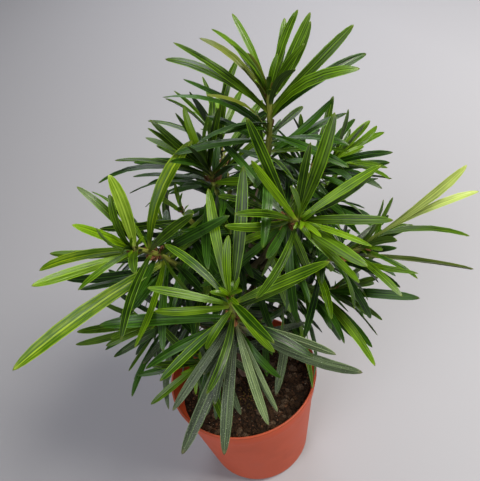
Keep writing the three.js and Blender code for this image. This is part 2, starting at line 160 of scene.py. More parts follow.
class Curve:
    """A Bezier curve through any number of points, in millimetres."""

    def __init__(self, *points: Sequence[float]) -> None:
        """Keeps the points as arrays."""
        self.points = [np.array(point, float) for point in points]

    def point(self, share: float) -> Array:
        """Finds a point of the curve.

        Args:
            share: how far along, from 0 to 1.

        Returns:
            The point.
        """
        points = self.points
        while len(points) > 1:
            points = [a * (1 - share) + b * share for a, b in zip(points, points[1:])]
        return points[0]

    def tangent(self, share: float) -> Array:
        """The unit direction at a share of the curve."""
        step = 1e-4
        return unit(self.point(min(1.0, share + step)) - self.point(max(0.0, share - step)))

    def across(self, share: float) -> tuple[Array, Array, Array]:
        """Finds the curve's frame at a place.

        Args:
            share: how far along, from 0 to 1.

        Returns:
            The direction along the curve and the two across it.
        """
        chord = np.abs(self.points[-1] - self.points[0])
        reference = np.zeros(3)
        reference[int(np.argmin(chord))] = 1
        along = self.tangent(share)
        first = unit(np.cross(reference, along))
        return along, first, np.cross(along, first)

    def heading(self, share: float, turn: float, spread: float) -> Array:
        """Finds the direction of something that grows from the curve.

        Args:
            share: how far along the curve, from 0 to 1.
            turn: round the curve, in radians.
            spread: away from the curve's own direction, in radians.

        Returns:
            The unit direction.
        """
        along, first, second = self.across(share)
        outward = first * math.cos(turn) + second * math.sin(turn)
        return along * math.cos(spread) + outward * math.sin(spread)

    def length(self, steps: int = 24) -> float:
        """The curve's length in millimetres."""
        points = [self.point(i / steps) for i in range(steps + 1)]
        return sum(float(np.linalg.norm(b - a)) for a, b in zip(points, points[1:]))


# ------------------------------------------------------------------ sizes shared with the solids


class Tint(Enum):
    """A leaf's colouring, which follows its age."""

    LIME = "lime"
    PALE = "pale"
    BRIGHT = "bright"
    FRESH = "fresh"
    GREEN = "green"
    DEEP = "deep"
    OLIVE = "olive"
    OLD = "old"
    DUSTY = "dusty"
    SCALE = "scale"


@dataclass(frozen=True)
class PotSize:
    """The round nursery pot, with a collar under its rim and a foot."""

    height: float = 76.0
    rim_radius: float = 45.0
    collar_height: float = 12.0
    collar_step: float = 0.8
    base_radius: float = 32.0
    foot_height: float = 4.0
    foot_step: float = 0.6
    wall: float = 1.3
    floor: float = 3.0
    drain_holes: int = 6
    drain_radius: float = 3.2
    drain_circle: float = 20.0
    channel_width: float = 5.0
    channel_depth: float = 1.2

    def radius(self, height: Union[float, Array]) -> Union[float, Array]:
        """Radius of the outer wall at a height or at each of many."""
        return mix(self.base_radius, self.rim_radius, height / self.height)


@dataclass(frozen=True)
class SoilSize:
    """The soil's top: level round the trunk and lower at the wall, with crumbs on it."""

    level: float = 63.0
    crumbs: float = 1.2
    crown_radius: float = 20.0
    rim_drop: float = 2.5


@dataclass(frozen=True)
class TrunkSize:
    """The trunk leans to the right as it rises from the soil into the leader."""

    path: tuple[Triple, ...] = ((3, 10, 63.3), (1, 8, 112), (14, 5, 158), (33, 3, 212))
    foot_radius: float = 3.7
    tip_radius: float = 1.7
    flare: float = 0.55
    flare_height: float = 0.12

    def radius(self, share: float) -> float:
        """Radius at a share of the trunk's length."""
        near_foot = max(0.0, 1 - share / self.flare_height)
        return mix(self.foot_radius, self.tip_radius, share) * (1 + self.flare * near_foot * near_foot)


@dataclass(frozen=True)
class BoughSize:
    """Where a bough leaves the trunk, as a share of its length, its tip and its foot's radius."""

    at: float
    tip: Triple
    radius: float
    tip_share: float = 0.72

    def radius_at(self, share: float) -> float:
        """Radius at a share of the bough's length."""
        return mix(self.radius, self.radius * self.tip_share, share)


BOUGHS: dict[str, BoughSize] = {
    "front": BoughSize(0.3, (3, -30, 150), 2.3),
    "left": BoughSize(0.4, (-17, -4, 176), 2.1),
    "low_left": BoughSize(0.24, (-18, 4, 127), 1.9),
    "right": BoughSize(0.5, (50, -9, 157), 2.1),
    "middle": BoughSize(0.62, (33, -16, 194), 1.9),
    "upper_left": BoughSize(0.68, (11, 10, 202), 1.7),
    "upper_right": BoughSize(0.74, (50, 8, 196), 1.7),
    "low_right": BoughSize(0.34, (33, 2, 122), 1.9),
    "centre_left": BoughSize(0.52, (1, 4, 176), 1.7),
    "centre_right": BoughSize(0.58, (46, 8, 172), 1.7),
    "low_front": BoughSize(0.18, (-7, -13, 116), 1.7),
    "back": BoughSize(0.56, (18, 34, 182), 1.9),
    "back_left": BoughSize(0.44, (-9, 30, 146), 1.8),
    "back_right": BoughSize(0.44, (42, 32, 152), 1.9),
}
BOUGH_LEAFY = 0.6
BOUGH_SAG = 0.2
CLEARANCE = 0.3
# A leaf's ages, from 0 to 1, at which its tint changes.
FRESH_UNTIL, GREEN_UNTIL, OLD_FROM = 0.16, 0.5, 0.75
# What is added to a mass's seed for its finer leaves, for their habits and for its tufts.
FILLER_SEED, HABIT_SEED, TUFT_SEED = 9000, 5000, 7000


@dataclass(frozen=True)
class Aim:
    """One aimed leaf: its share of the stem, bearing, rise and length, and what sets it apart."""

    at: float
    bearing: float
    rise: float
    length: float
    tint: Union[Tint, None] = None
    arch: float = 0.06
    roll: Union[float, None] = None
    breadth: float = 1.0


@dataclass(frozen=True)
class MassRule:
    """One mass of foliage: its bud, the leaves that its stem carries and their colours."""

    bough: Union[str, None]
    bud: Triple
    leaves: int
    length: float
    opening: tuple[float, float]
    seed: int
    aimed: tuple[Aim, ...] = ()
    youth: float = 0.0
    extra: int = 26
    dusty: bool = False
    ringed: bool = True


MASSES: dict[str, MassRule] = {
    "top": MassRule(None, (41, 1, 256), 14, 46, (106, 20), 180, (
        Aim(0.92, 107, 53, 38, None, 0.06, 40),
        Aim(0.9, 160, 63, 39, None, 0.1, 0),
        Aim(0.85, 132, 40, 42, Tint.OLIVE, 0.14, 20),
        Aim(0.75, 167, 48, 51, None, 0.1, -10),
        Aim(0.6, 145, 30, 44, Tint.DEEP, arch=0.08),
        Aim(0.5, 176, 38, 52, Tint.DEEP, 0.14, 10),
        Aim(0.45, -162, 54, 42, Tint.OLIVE, 0.16, 20),
        Aim(0.92, 55, 40, 36, arch=0),
        Aim(0.95, 45, 40, 39, arch=0.03),
        Aim(0.88, 32, 39, 38, None, -0.06, -10),
        Aim(0.8, -13, 41, 49, None, 0.04, 50),
        Aim(0.7, 7, 19, 50, None, 0.12, 0),
        Aim(0.68, -27, 32, 47, Tint.GREEN, 0.18, 10, 1.2),
        Aim(0.3, 3, 29, 38, None, -0.1, 0),
        Aim(0.2, 10, 15, 44),
        Aim(0.8, 135, 20, 57, arch=0.09),
        Aim(0.93, 150, 75, 24, Tint.OLIVE, arch=0.06),
    ), -0.2, ringed=False),
    "front": MassRule("front", (3, -46, 191), 10, 46, (107, 50), 281, (
        Aim(0.95, 85, 42, 50, Tint.FRESH, arch=0.02),
        Aim(0.9, 62, 54, 59, Tint.GREEN, arch=0),
        Aim(0.85, 130, 32, 41),
        Aim(0.8, 167, 2, 36, Tint.FRESH),
        Aim(0.75, -154, -35, 22, Tint.FRESH, arch=0.1),
        Aim(0.5, -150, -29, 51, Tint.OLD, 0.02, 10),
        Aim(0.3, -137, -33, 65, Tint.OLD, 0.03, -10),
        Aim(0.3, -117, -40, 61, Tint.OLD, 0.02, 5),
        Aim(0.35, -86, -45, 50, Tint.DUSTY, 0.03, -15),
        Aim(0.3, -76, -45, 46, Tint.DUSTY, 0.03, 25),
        Aim(0.9, -54, -45, 30, Tint.FRESH, arch=0.08),
        Aim(0.4, -24, -24, 50, Tint.DUSTY, 0.04, 40),
        Aim(0.25, -28, -24, 65, Tint.OLD, 0.03, 40),
        Aim(0.85, -18, 28, 50, Tint.FRESH, arch=-0.05),
        Aim(0.5, 170, 7, 63, arch=0.05),
        Aim(0.65, -159, -25, 46, Tint.FRESH, 0.04, -10),
        Aim(0.5, -129, -41, 41, Tint.OLD, 0.02, 20),
    ), extra=5, dusty=True),
    "left": MassRule("left", (-34, -14, 204), 14, 48, (116, 24), 362, (
        Aim(0.95, 91, 76, 37, Tint.PALE, 0.02, 40, 1.6),
        Aim(0.95, -167, 51, 33, Tint.FRESH, 0.05, 30, 1.3),
        Aim(0.9, 175, 1, 47, Tint.BRIGHT, 0.09, 20, 1.25),
        Aim(0.8, -155, 17, 52, Tint.FRESH, -0.05, -20),
        Aim(0.15, 178, 7, 52, Tint.DEEP, -0.1, 0),
        Aim(0.1, -173, 9, 47, Tint.DEEP, -0.08, 10),
        Aim(0.3, -145, 5, 86, Tint.BRIGHT, 0.02, -30, 1.1),
        Aim(0.7, 35, 44, 55, Tint.BRIGHT, 0.12, -5, 1.25),
        Aim(0.7, 125, 35, 41, Tint.GREEN, 0.14, 50),
        Aim(0.2, -172, -11, 57, Tint.DEEP, 0.12, -10),
        Aim(0.4, -116, -17, 48, Tint.FRESH, -0.04, 10),
        Aim(0.98, 137, 86, 31, Tint.GREEN, 0.14, 0),
    )),
    "low_left": MassRule("low_left", (-37, 0, 138), 18, 46, (108, 16), 181, (
        Aim(0.9, 177, -3, 50, None, 0.08, -30),
        Aim(0.8, -165, 25, 50),
        Aim(0.6, 180, -10, 45),
        Aim(0.5, -150, 10, 43),
        Aim(0.4, -155, -25, 44),
        Aim(0.3, -140, 0, 36),
    ), -0.2, dusty=True),
    "right": MassRule("right", (74, -18, 170), 13, 42, (118, 24), 332, (
        Aim(0.8, -14, 40, 68, Tint.LIME, 0.06, -10, 0.88),
        Aim(0.7, -10, 25, 69, Tint.LIME, 0.1, -30, 0.75),
        Aim(0.6, -21, 10, 61, Tint.GREEN, 0.12, -50),
        Aim(0.5, -24, -6, 66, Tint.OLIVE, 0.02, -35),
        Aim(0.5, -44, 7, 42, Tint.GREEN, -0.05, 10),
        Aim(0.9, -60, 40, 30, Tint.FRESH),
        Aim(0.3, -25, -25, 41),
        Aim(0.5, 0, -10, 33),
        Aim(0.5, 20, 10, 36),
    )),
    "middle": MassRule("middle", (40, -34, 211), 14, 48, (112, 50), 305, (
        Aim(0.9, 145, 60, 34, Tint.FRESH, arch=0.03),
        Aim(0.7, 125, 70, 50, arch=0.03),
        Aim(0.85, 20, 60, 49, Tint.GREEN, 0.02, 0, 1.2),
        Aim(0.9, 0, 25, 42, Tint.FRESH, arch=0.03),
        Aim(0.6, -35, 10, 46, Tint.GREEN, 0.02, 30),
        Aim(0.7, -55, -10, 40, Tint.GREEN, 0.04, 20, 1.3),
        Aim(0.6, -60, -70, 28, Tint.GREEN, arch=0.03),
        Aim(0.5, -160, -55, 30, Tint.GREEN, 0.02, -25),
        Aim(0.7, -170, 20, 32, Tint.FRESH, arch=0.12),
        Aim(0.5, 155, 25, 33, Tint.GREEN, 0.05, 35),
    ), extra=16),
    "upper_left": MassRule("upper_left", (9, 14, 218), 20, 48, (113, 18), 288, (
        Aim(0.9, 165, 55, 37),
        Aim(0.9, -30, 80, 30),
        Aim(0.7, 177, 27, 46, None, 0.06, 0),
        Aim(0.6, 175, 15, 55, None, 0.12, 20),
        Aim(0.8, 140, 25, 37),
        Aim(0.3, 175, 12, 42, None, 0.12, 20),
    ), -0.1),
    "upper_right": MassRule("upper_right", (68, 6, 208), 14, 38, (105, 24), 68, (
        Aim(0.6, 15, 40, 31),
        Aim(0.9, -20, 70, 31),
        Aim(0.8, 15, 15, 34),
        Aim(0.7, 5, 5, 40),
        Aim(0.6, -30, 20, 39, arch=0.1),
        Aim(0.5, -5, -5, 39),
        Aim(0.3, -40, 5, 39, arch=0.12),
        Aim(0.2, -80, -20, 42),
    ), -0.1),
    "low_right": MassRule("low_right", (62, -4, 130), 18, 44, (110, 20), 313, (
        Aim(0.9, -70, -5, 38),
        Aim(0.7, -70, -21, 50, Tint.FRESH, 0.06, 25, 1.3),
        Aim(0.5, -40, -45, 37),
        Aim(0.2, -95, -35, 49, Tint.GREEN, 0.03, 0),
        Aim(0.75, -35, 10, 54, Tint.DEEP, 0.06, 10),
        Aim(0.15, -120, -30, 52, Tint.OLD, 0.03, 10),
    ), -0.2),
    "centre_left": MassRule("centre_left", (-8, 3, 204), 22, 44, (113, 34), 113, (), -0.2),
    "centre_right": MassRule("centre_right", (66, 14, 186), 20, 42, (105, 34), 213, (), -0.2),
    "low_front": MassRule("low_front", (-20, -28, 130), 16, 42, (108, 29), 329, (), -0.2, 6, True),
    "back": MassRule("back", (20, 56, 206), 22, 52, (100, 22), 356, (
        Aim(0.9, 165, 65, 39),
        Aim(0.9, 170, 75, 30),
        Aim(0.8, 50, 60, 41),
    ), -0.1),
    "back_left": MassRule("back_left", (-22, 50, 160), 18, 48, (108, 46), 78, (), -0.1),
    "back_right": MassRule("back_right", (66, 46, 172), 22, 54, (116, 28), 64, (), -0.1),
}


@dataclass(frozen=True)
class Lane:
    """A lane through the crown that stays open to the light: its two ends and its radius."""

    start: Triple
    end: Triple
    radius: float


LANES = (
    Lane((-6, -60, 256), (-12, 90, 146), 3),
    Lane((0, -60, 255), (0, 90, 144), 3),
    Lane((-19, -60, 263), (-36, 90, 159), 3),
    Lane((-17, -60, 257), (-33, 90, 147), 2),
    Lane((58, -60, 238), (112, 90, 112), 2.5),
    Lane((65, -60, 239), (125, 90, 113), 3.5),
    Lane((18, -60, 221), (35, 90, 78), 1),
    Lane((46, -60, 201), (88, 90, 40), 1.2),
    Lane((45, -60, 279), (85, 90, 190), 2.5),
)


@dataclass(frozen=True)
class StemSize:
    """The stem that runs through a mass, from its bough's tip to its bud."""

    foot_radius: float = 1.45
    bud_radius: float = 0.95
    straight: float = 0.45
    first_leaf: float = 0.14
    last_leaf: float = 0.98

    def radius(self, share: float) -> float:
        """Radius at a share of the stem's length."""
        return mix(self.foot_radius, self.bud_radius, share)


@dataclass(frozen=True)
class LeafSize:
    """The strap leaf: its widths and how the leaves stand round a stem, with angles in degrees."""

    stations: tuple[float, ...] = (0, 0.3, 0.86, 1)
    width_share: float = 0.094
    least_width: float = 3.9
    most_width: float = 6.6
    petiole: float = 0.22
    widest: float = 0.62
    room: float = 1.0
    golden_angle: float = 137.508
    arch: float = 0.07
    aimed_roll: float = 24.0
    roll: float = 34.0
    shortest: float = 0.62
    droop: float = 0.3
    space: float = 1.2
    crowding: float = 1.25
    growth: float = 0.9
    turn_scatter: float = 12.0
    opening_scatter: float = 9.0
    length_scatter: tuple[float, float] = (0.86, 1.1)
    arch_scatter: tuple[float, float] = (0.3, 1.4)

    def outline(self, share: float) -> float:
        """Half-width of the leaf over its greatest half-width.

        Args:
            share: how far along the leaf, from 0 to 1.

        Returns:
            The share of the greatest half-width.
        """
        if share < self.widest:
            rise = math.sin(math.pi * share / (2 * self.widest)) ** 0.9
            return mix(self.petiole, 1, rise)
        past = (share - self.widest) / (1 - self.widest)
        return max(0.0, 1 - past**2.6) ** 0.6


@dataclass(frozen=True)
class FinerSize:
    """The finer leaves that thicken a mass, from deep on its bough to a share of its stem."""

    last: float = 0.6
    turn_scatter: float = 25.0
    opening: tuple[float, float] = (88, 58)
    opening_scatter: float = 16.0
    sag: float = 0.5
    length: tuple[float, float] = (0.5, 0.85)
    arch: tuple[float, float] = (-0.02, 0.14)
    roll: float = 55.0
    # Share of the finer leaves that take the darker tint: partly their older colour, partly painted shade
    # inside the crown.
    darker: float = 0.62


POT, SOIL, TRUNK, STEM, LEAF, FINER = PotSize(), SoilSize(), TrunkSize(), StemSize(), LeafSize(), FinerSize()
LIGHT = np.array([0, -0.6, 0.8])


# ------------------------------------------------------------------ the growing rule


@dataclass
class Leaf:
    """One leaf: a bent spine, the direction across it and its greatest half-width."""

    root: Array
    bend: Array
    tip: Array
    side: Array
    half_width: float
    share: float
    tint: Tint = Tint.GREEN

    @property
    def length(self) -> float:
        """Distance from root to tip."""
        return float(np.linalg.norm(self.tip - self.root))

    def spine(self, share: Union[float, Array]) -> Array:
        """Point of the midrib at a share of the length, or one at each of many."""
        rest = 1 - share
        return self.root * rest * rest + self.bend * 2 * rest * share + self.tip * share * share

    def lines(self) -> Array:
        """Lays out its two edges and its midrib.

        Returns:
            Three lines of points.
        """
        edges = []
        for edge in (-1, 0, 1):
            reach = [edge * self.half_width * LEAF.outline(share) for share in LEAF.stations]
            edges.append([self.spine(s) + self.side * r for s, r in zip(LEAF.stations, reach)])
        return np.array(edges)


def make_leaf(
    root: Array,
    heading: Array,
    length: float,
    facing: Array,
    arch: float,
    roll: float,
    share: float,
    breadth: float = 1.0,
) -> Leaf:
    """Makes a leaf from its root.

    Args:
        root: where it leaves the stem's axis.
        heading: which way it points.
        length: from root to tip.
        facing: which way its upper face looks, roughly.
        arch: how far its middle stands off its chord, over its length.
        roll: turn round its chord, in radians.
        share: the root's share of the stem.
        breadth: its width over that of the usual leaf of its length.

    Returns:
        The leaf.
    """
    chord = unit(heading)
    side = turned(unit(np.cross(chord, facing)), chord, roll)
    face = np.cross(side, chord)
    tip = root + chord * length
    bend = (root + tip) / 2 + face * (2 * arch * length)
    width = breadth * min(max(length * LEAF.width_share, LEAF.least_width), LEAF.most_width)
    return Leaf(root, bend, tip, side, width / 2, share)


def segment_gaps(a: Array, b: Array, c: Array, d: Array) -> Array:
    """Shortest distances between the segments ab and cd.

    Args:
        a: starts of the first segments.
        b: their ends.
        c: starts of the second segments.
        d: their ends.

    Returns:
        One distance for each pair, first segments down and second ones across.
    """
    ab, cd = (b - a)[:, None], (d - c)[None]
    ca = a[:, None] - c[None]
    ab_ab = (ab * ab).sum(-1)
    cd_cd = (cd * cd).sum(-1)
    ab_cd = (ab * cd).sum(-1)
    ab_ca = (ab * ca).sum(-1)
    cd_ca = (cd * ca).sum(-1)
    scale = ab_ab * cd_cd - ab_cd * ab_cd
    crossing = scale > 1e-9
    on_ab = np.clip((ab_cd * cd_ca - ab_ca * cd_cd) / np.where(crossing, scale, 1), 0, 1)
    on_ab = np.where(crossing, on_ab, 0)
    on_cd = (ab_cd * on_ab + cd_ca) / cd_cd
    past_end = (on_cd < 0) | (on_cd > 1)
    on_cd = np.clip(on_cd, 0, 1)
    on_ab = np.where(past_end, np.clip((ab_cd * on_cd - ab_ca) / ab_ab, 0, 1), on_ab)
    gap = ca + ab * on_ab[..., None] - cd * on_cd[..., None]
    return np.sqrt((gap * gap).sum(-1))


class Room:
    """Every limb and every leaf so far, as line pieces with a radius, and the room round them."""

    LIMB_PIECES = 8
    LIMB_STATION, ROOT_STATION = 0, 1
    POT_ROOM = 2.5
    NEAR = 4.0
    OWN_GAP = 0.2
    FINER_GAP = 0.8

    def __init__(self) -> None:
        """Starts empty."""
        self.starts = np.zeros((0, 3))
        self.ends = np.zeros((0, 3))
        self.radii = np.zeros(0)
        self.owners = np.zeros(0, int)
        self.stations = np.zeros(0, int)
        self.names: list[str] = []

    def owner(self, name: str) -> int:
        """Finds or gives the number that stands for a mass or limb.

        Args:
            name: its name.

        Returns:
            The number.
        """
        if name not in self.names:
            self.names.append(name)
        return self.names.index(name)

    def _add(self, name: str, starts: Array, ends: Array, radii: Array, stations: Array) -> None:
        """Adds line pieces of one owner.

        Args:
            name: the owner's name.
            starts: one end of each piece.
            ends: the other ends.
            radii: their radii.
            stations: LIMB_STATION for a limb's pieces, and from ROOT_STATION up for a leaf's.
        """
        self.starts = np.vstack([self.starts, starts])
        self.ends = np.vstack([self.ends, ends])
        self.radii = np.concatenate([self.radii, radii])
        self.owners = np.concatenate([self.owners, np.full(len(starts), self.owner(name))])
        self.stations = np.concatenate([self.stations, stations])

    def add_limb(self, name: str, curve: Curve, radius: Callable[[float], float]) -> None:
        """Adds a limb as straight pieces.

        Args:
            name: its owner's name.
            curve: its axis.
            radius: its radius at a share of the length.
        """
        shares = [i / self.LIMB_PIECES for i in range(self.LIMB_PIECES + 1)]
        points = np.array([curve.point(share) for share in shares])
        radii = np.array([radius(share) for share in shares[:-1]])
        self._add(name, points[:-1], points[1:], radii, np.full(self.LIMB_PIECES, self.LIMB_STATION))

    def add_leaf(self, name: str, leaf: Leaf) -> None:
        """Adds a leaf's edges and midrib.

        Args:
            name: its mass's name.
            leaf: the leaf.
        """
        lines = leaf.lines()
        count = lines.shape[1] - 1
        starts, ends = lines[:, :-1].reshape(-1, 3), lines[:, 1:].reshape(-1, 3)
        stations = np.tile(np.arange(self.ROOT_STATION, count + self.ROOT_STATION), len(lines))
        self._add(name, starts, ends, np.full(len(starts), LEAF.room / 2), stations)

    def in_pot(self, lines: Array) -> bool:
        """Whether a leaf's lines are in or close to the pot's wall or the soil.

        Args:
            lines: its edges and midrib.

        Returns:
            True where any of their points or middles is.
        """
        starts, ends = lines[:, :-1], lines[:, 1:]
        points = np.stack([starts * (1 - share) + ends * share for share in (0, 0.5, 1)])
        reach = np.hypot(points[..., 0], points[..., 1])
        height = points[..., 2]
        wall = POT.radius(height)
        outside = wall + self.POT_ROOM
        inside = wall - POT.wall - POT.collar_step - self.POT_ROOM
        low = height < SOIL.level + SOIL.crumbs + self.POT_ROOM
        in_wall = (height < POT.height + self.POT_ROOM) & (reach < outside) & (reach > inside)
        return bool(np.where(low, reach < outside, in_wall).any())

    def near(self, lines: Array, room: float) -> Array:
        """Finds the line pieces that reach into the box round a leaf.

        Args:
            lines: the leaf's edges and midrib.
            room: how far the box stands off them.

        Returns:
            True for each piece that does.
        """
        points, radii = lines.reshape(-1, 3), self.radii[:, None]
        near = (np.minimum(self.starts, self.ends) - radii <= points.max(0) + room).all(1)
        return near & (np.maximum(self.starts, self.ends) + radii >= points.min(0) - room).all(1)

    def gaps(self, lines: Array, first: int, chosen: Array) -> Array:
        """The distance from each piece of a leaf's lines, from a station on, to each chosen line piece."""
        starts, ends = lines[:, first:-1].reshape(-1, 3), lines[:, first + 1 :].reshape(-1, 3)
        return segment_gaps(starts, ends, self.starts[chosen], self.ends[chosen])

    def is_free(self, leaf: Leaf, name: str) -> bool:
        """Whether a leaf keeps clear of the other masses, the limbs, the pot and its own mass.

        Args:
            leaf: the leaf to try.
            name: the mass that it belongs to.

        Returns:
            True where it touches nothing.
        """
        lines = leaf.lines()
        if self.in_pot(lines):
            return False
        near = self.near(lines, self.NEAR)
        own = self.owners == self.owner(name)
        past_root = self.stations > self.ROOT_STATION
        for chosen, first, gap in ((near & ~own, 0, LEAF.space), (near & own & past_root, 1, self.OWN_GAP)):
            clear = LEAF.room / 2 + self.radii[chosen] + gap
            if chosen.any() and (self.gaps(lines, first, chosen) < clear).any():
                return False
        return True

    def is_loose(self, leaf: Leaf) -> bool:
        """Whether a finer leaf keeps a small gap from every leaf and limb past its own root.

        Args:
            leaf: the leaf to try.

        Returns:
            True where its edges and midrib do.
        """
        lines = leaf.lines()
        if self.in_pot(lines):
            return False
        near = self.near(lines, self.FINER_GAP) & (self.stations != self.ROOT_STATION)
        limb = np.where(self.stations[near] == self.LIMB_STATION, self.radii[near], 0)
        return not (self.gaps(lines, 1, near) < self.FINER_GAP + limb).any()


Heading = Callable[[float, float], Array]
TRIES = [
    (turn, lift, size)
    for size in (1, 0.86, 0.72)
    for lift in (0, -12, 12)
    for turn in (0, 12, -12, 24, -24)
]


@dataclass(frozen=True)
class Wish:
    """A leaf that is wished for: its root, its heading for a turn and a lift, and its form."""

    curve: Curve
    at: float
    heading: Heading
    length: float
    arch: float
    roll: float
    breadth: float = 1.0

    def tries(self) -> Iterator[Leaf]:
        """Makes the leaf, and then makes it turned, raised or lowered, and cut shorter.

        Yields:
            The leaf in each way, the closest to the wish first.
        """
        root = self.curve.point(self.at)
        facing = self.curve.tangent(self.at) + LIGHT
        for turn, lift, size in TRIES:
            way, length = self.heading(turn, lift), self.length * size
            yield make_leaf(root, way, length, facing, self.arch, self.roll, self.at, self.breadth)


@dataclass
class Mass:
    """A mass of foliage as it grows: its stem's curve, its draws and its leaves."""

    name: str
    rule: MassRule
    curve: Curve
    parent: Curve
    random: Stream
    filler: Stream
    phase: float
    leaves: list[Leaf] = field(default_factory=list)
    extra: list[Leaf] = field(default_factory=list)

    def place(self, room: Room, wish: Wish, age: float, tint: Union[Tint, None] = None) -> None:
        """Places a leaf in the first way in which it is free, or skips it.

        Args:
            room: what is there already.
            wish: the leaf that is wished for.
            age: its age from 0 to 1, which sets its tint.
            tint: a tint of its own, if it has one.
        """
        for leaf in wish.tries():
            if room.is_free(leaf, self.name):
                leaf.tint = tint or self.tint_at(age)
                room.add_leaf(self.name, leaf)
                self.leaves.append(leaf)
                return

    def aim(self, room: Room, aim: Aim, index: int) -> None:
        """Places one aimed leaf, rolled in uneven steps where its roll isn't set.

        Args:
            room: what is there already.
            aim: its aim.
            index: its number in its mass.
        """
        step = index * LEAF.golden_angle / 360 % 1
        roll = mix(-LEAF.aimed_roll, LEAF.aimed_roll, step) if aim.roll is None else aim.roll

        def heading(turn: float, lift: float) -> Array:
            """Its direction for a turn and a lift."""
            return direction(aim.bearing + turn / 2, aim.rise - lift / 2)

        wish = Wish(self.curve, aim.at, heading, aim.length, aim.arch, math.radians(roll), aim.breadth)
        self.place(room, wish, 1 - aim.at, aim.tint)

    def grow(self, room: Room, number: int) -> None:
        """Grows one leaf of the spiral, from the oldest at the stem's foot to the youngest at its bud.

        Args:
            room: what is there already.
            number: which leaf it is.
        """
        rule = self.rule
        age = 1 - (number + 0.5) / rule.leaves
        draws = [self.random() for _ in range(5)]
        at = mix(STEM.first_leaf, STEM.last_leaf, 1 - age**LEAF.crowding)
        scatter = mix(-LEAF.turn_scatter, LEAF.turn_scatter, draws[0])
        azimuth = self.phase + number * LEAF.golden_angle + scatter
        scatter = mix(-LEAF.opening_scatter, LEAF.opening_scatter, draws[1])
        opening = mix(rule.opening[1], rule.opening[0], age) + scatter
        grown = math.sin(math.pi * min(0.5, age * LEAF.growth))
        size = mix(LEAF.shortest, 1, grown) * mix(*LEAF.length_scatter, draws[2])

        def heading(turn: float, lift: float) -> Array:
            """Its direction for a turn round the stem and a lift off it, drooping with age."""
            way = self.curve.heading(at, math.radians(azimuth + turn), math.radians(opening + lift))
            return way - np.array([0, 0, LEAF.droop * age])

        arch = LEAF.arch * mix(*LEAF.arch_scatter, draws[3])
        roll = math.radians(mix(-LEAF.roll, LEAF.roll, draws[4]))
        self.place(room, Wish(self.curve, at, heading, rule.length * size, arch, roll), age)

    def thicken(self, room: Room, number: int) -> None:
        """Grows one of the finer leaves that thicken the mass, on its bough or on its stem.

        Args:
            room: what is there already.
            number: which of them it is, from the bough's foot to the bud.
        """
        draw = self.filler.between
        place = mix(-1, FINER.last, (number + 0.5) / self.rule.extra)
        curve, at = (self.parent, 1 + place * BOUGH_LEAFY) if place < 0 else (self.curve, place)
        azimuth = math.radians(number * LEAF.golden_angle + draw(-FINER.turn_scatter, FINER.turn_scatter))
        opening = mix(*FINER.opening, (place + 1) / 2)
        spread = math.radians(opening + draw(-FINER.opening_scatter, FINER.opening_scatter))
        sag = draw(0, FINER.sag)
        length = self.rule.length * draw(*FINER.length)

        def heading(turn: float, lift: float) -> Array:
            """Its direction for a turn round the stem and a lift off it, sagging."""
            way = curve.heading(at, azimuth + math.radians(2 * turn), spread + math.radians(lift))
            return way - np.array([0, 0, sag])

        arch, roll = draw(*FINER.arch), math.radians(draw(-FINER.roll, FINER.roll))
        for leaf in Wish(curve, at, heading, length, arch, roll).tries():
            if room.is_loose(leaf):
                # Painted shade: the finer leaves inside the mass mostly take the darker tint, partly for
                # their age and partly to darken the crown's inside.
                darker, lighter = (Tint.OLD, Tint.DEEP) if self.rule.dusty else (Tint.DEEP, Tint.GREEN)
                leaf.tint = darker if self.filler() < FINER.darker else lighter
                room.add_leaf(self.name, leaf)
                self.extra.append(leaf)
                return

    def tint_at(self, age: float) -> Tint:
        """Finds the tint that a leaf has in this mass.

        Args:
            age: its age from 0 to 1.

        Returns:
            The tint.
        """
        felt = age - self.rule.youth
        if felt < FRESH_UNTIL:
            return Tint.FRESH
        if felt < GREEN_UNTIL:
            return Tint.GREEN
        return Tint.OLD if felt > OLD_FROM and self.rule.dusty else Tint.DEEP


def trunk_curve() -> Curve:
    """The trunk's axis."""
    return Curve(*TRUNK.path)


def bough_curve(bough: BoughSize) -> Curve:
    """Bends a bough's axis, which starts on the trunk's and is lowest in its middle.

    Args:
        bough: its sizes.

    Returns:
        The axis.
    """
    foot = trunk_curve().point(bough.at)
    end = np.array(bough.tip, float)
    bend = (foot + end) / 2
    bend[2] -= BOUGH_SAG * float(np.linalg.norm(end - foot))
    return Curve(foot, bend, end)


def parent_curve(rule: MassRule) -> Curve:
    """The axis of the bough or trunk that carries a mass."""
    return bough_curve(BOUGHS[rule.bough]) if rule.bough else trunk_curve()


def stem_curve(rule: MassRule) -> Curve:
    """Bends a stem's axis, which goes on from its bough's tip and turns to its bud.

    Args:
        rule: the rule of its mass.

    Returns:
        The axis.
    """
    parent = parent_curve(rule)
    heading = parent.tangent(1)
    foot = parent.point(1) + heading * CLEARANCE
    end = np.array(rule.bud, float)
    return Curve(foot, foot + heading * (STEM.straight * float(np.linalg.norm(end - foot))), end)


def grow_masses() -> list[Mass]:
    """Grows every mass, the aimed leaves of all of them first and the finer ones last.

    Returns:
        The masses.
    """
    room = Room()
    room.add_limb("trunk", trunk_curve(), TRUNK.radius)
    for name, bough in BOUGHS.items():
        room.add_limb(f"bough_{name}", bough_curve(bough), bough.radius_at)
    masses = []
    for name, rule in MASSES.items():
        random, filler = Stream(rule.seed), Stream(rule.seed + FILLER_SEED)
        masses.append(Mass(name, rule, stem_curve(rule), parent_curve(rule), random, filler, 360 * random()))
        room.add_limb(name, masses[-1].curve, STEM.radius)
    for mass in masses:
        for index, aim in enumerate(mass.rule.aimed):
            mass.aim(room, aim, index)
    for lane in LANES:
        room.add_limb("lane", Curve(lane.start, lane.end), lambda _share, reach=lane.radius: reach)
    for mass in masses:
        for number in range(mass.rule.leaves):
            mass.grow(room, number)
    for mass in masses:
        for number in range(mass.rule.extra):
            mass.thicken(room, number)
    return masses


# ------------------------------------------------------------------ materials


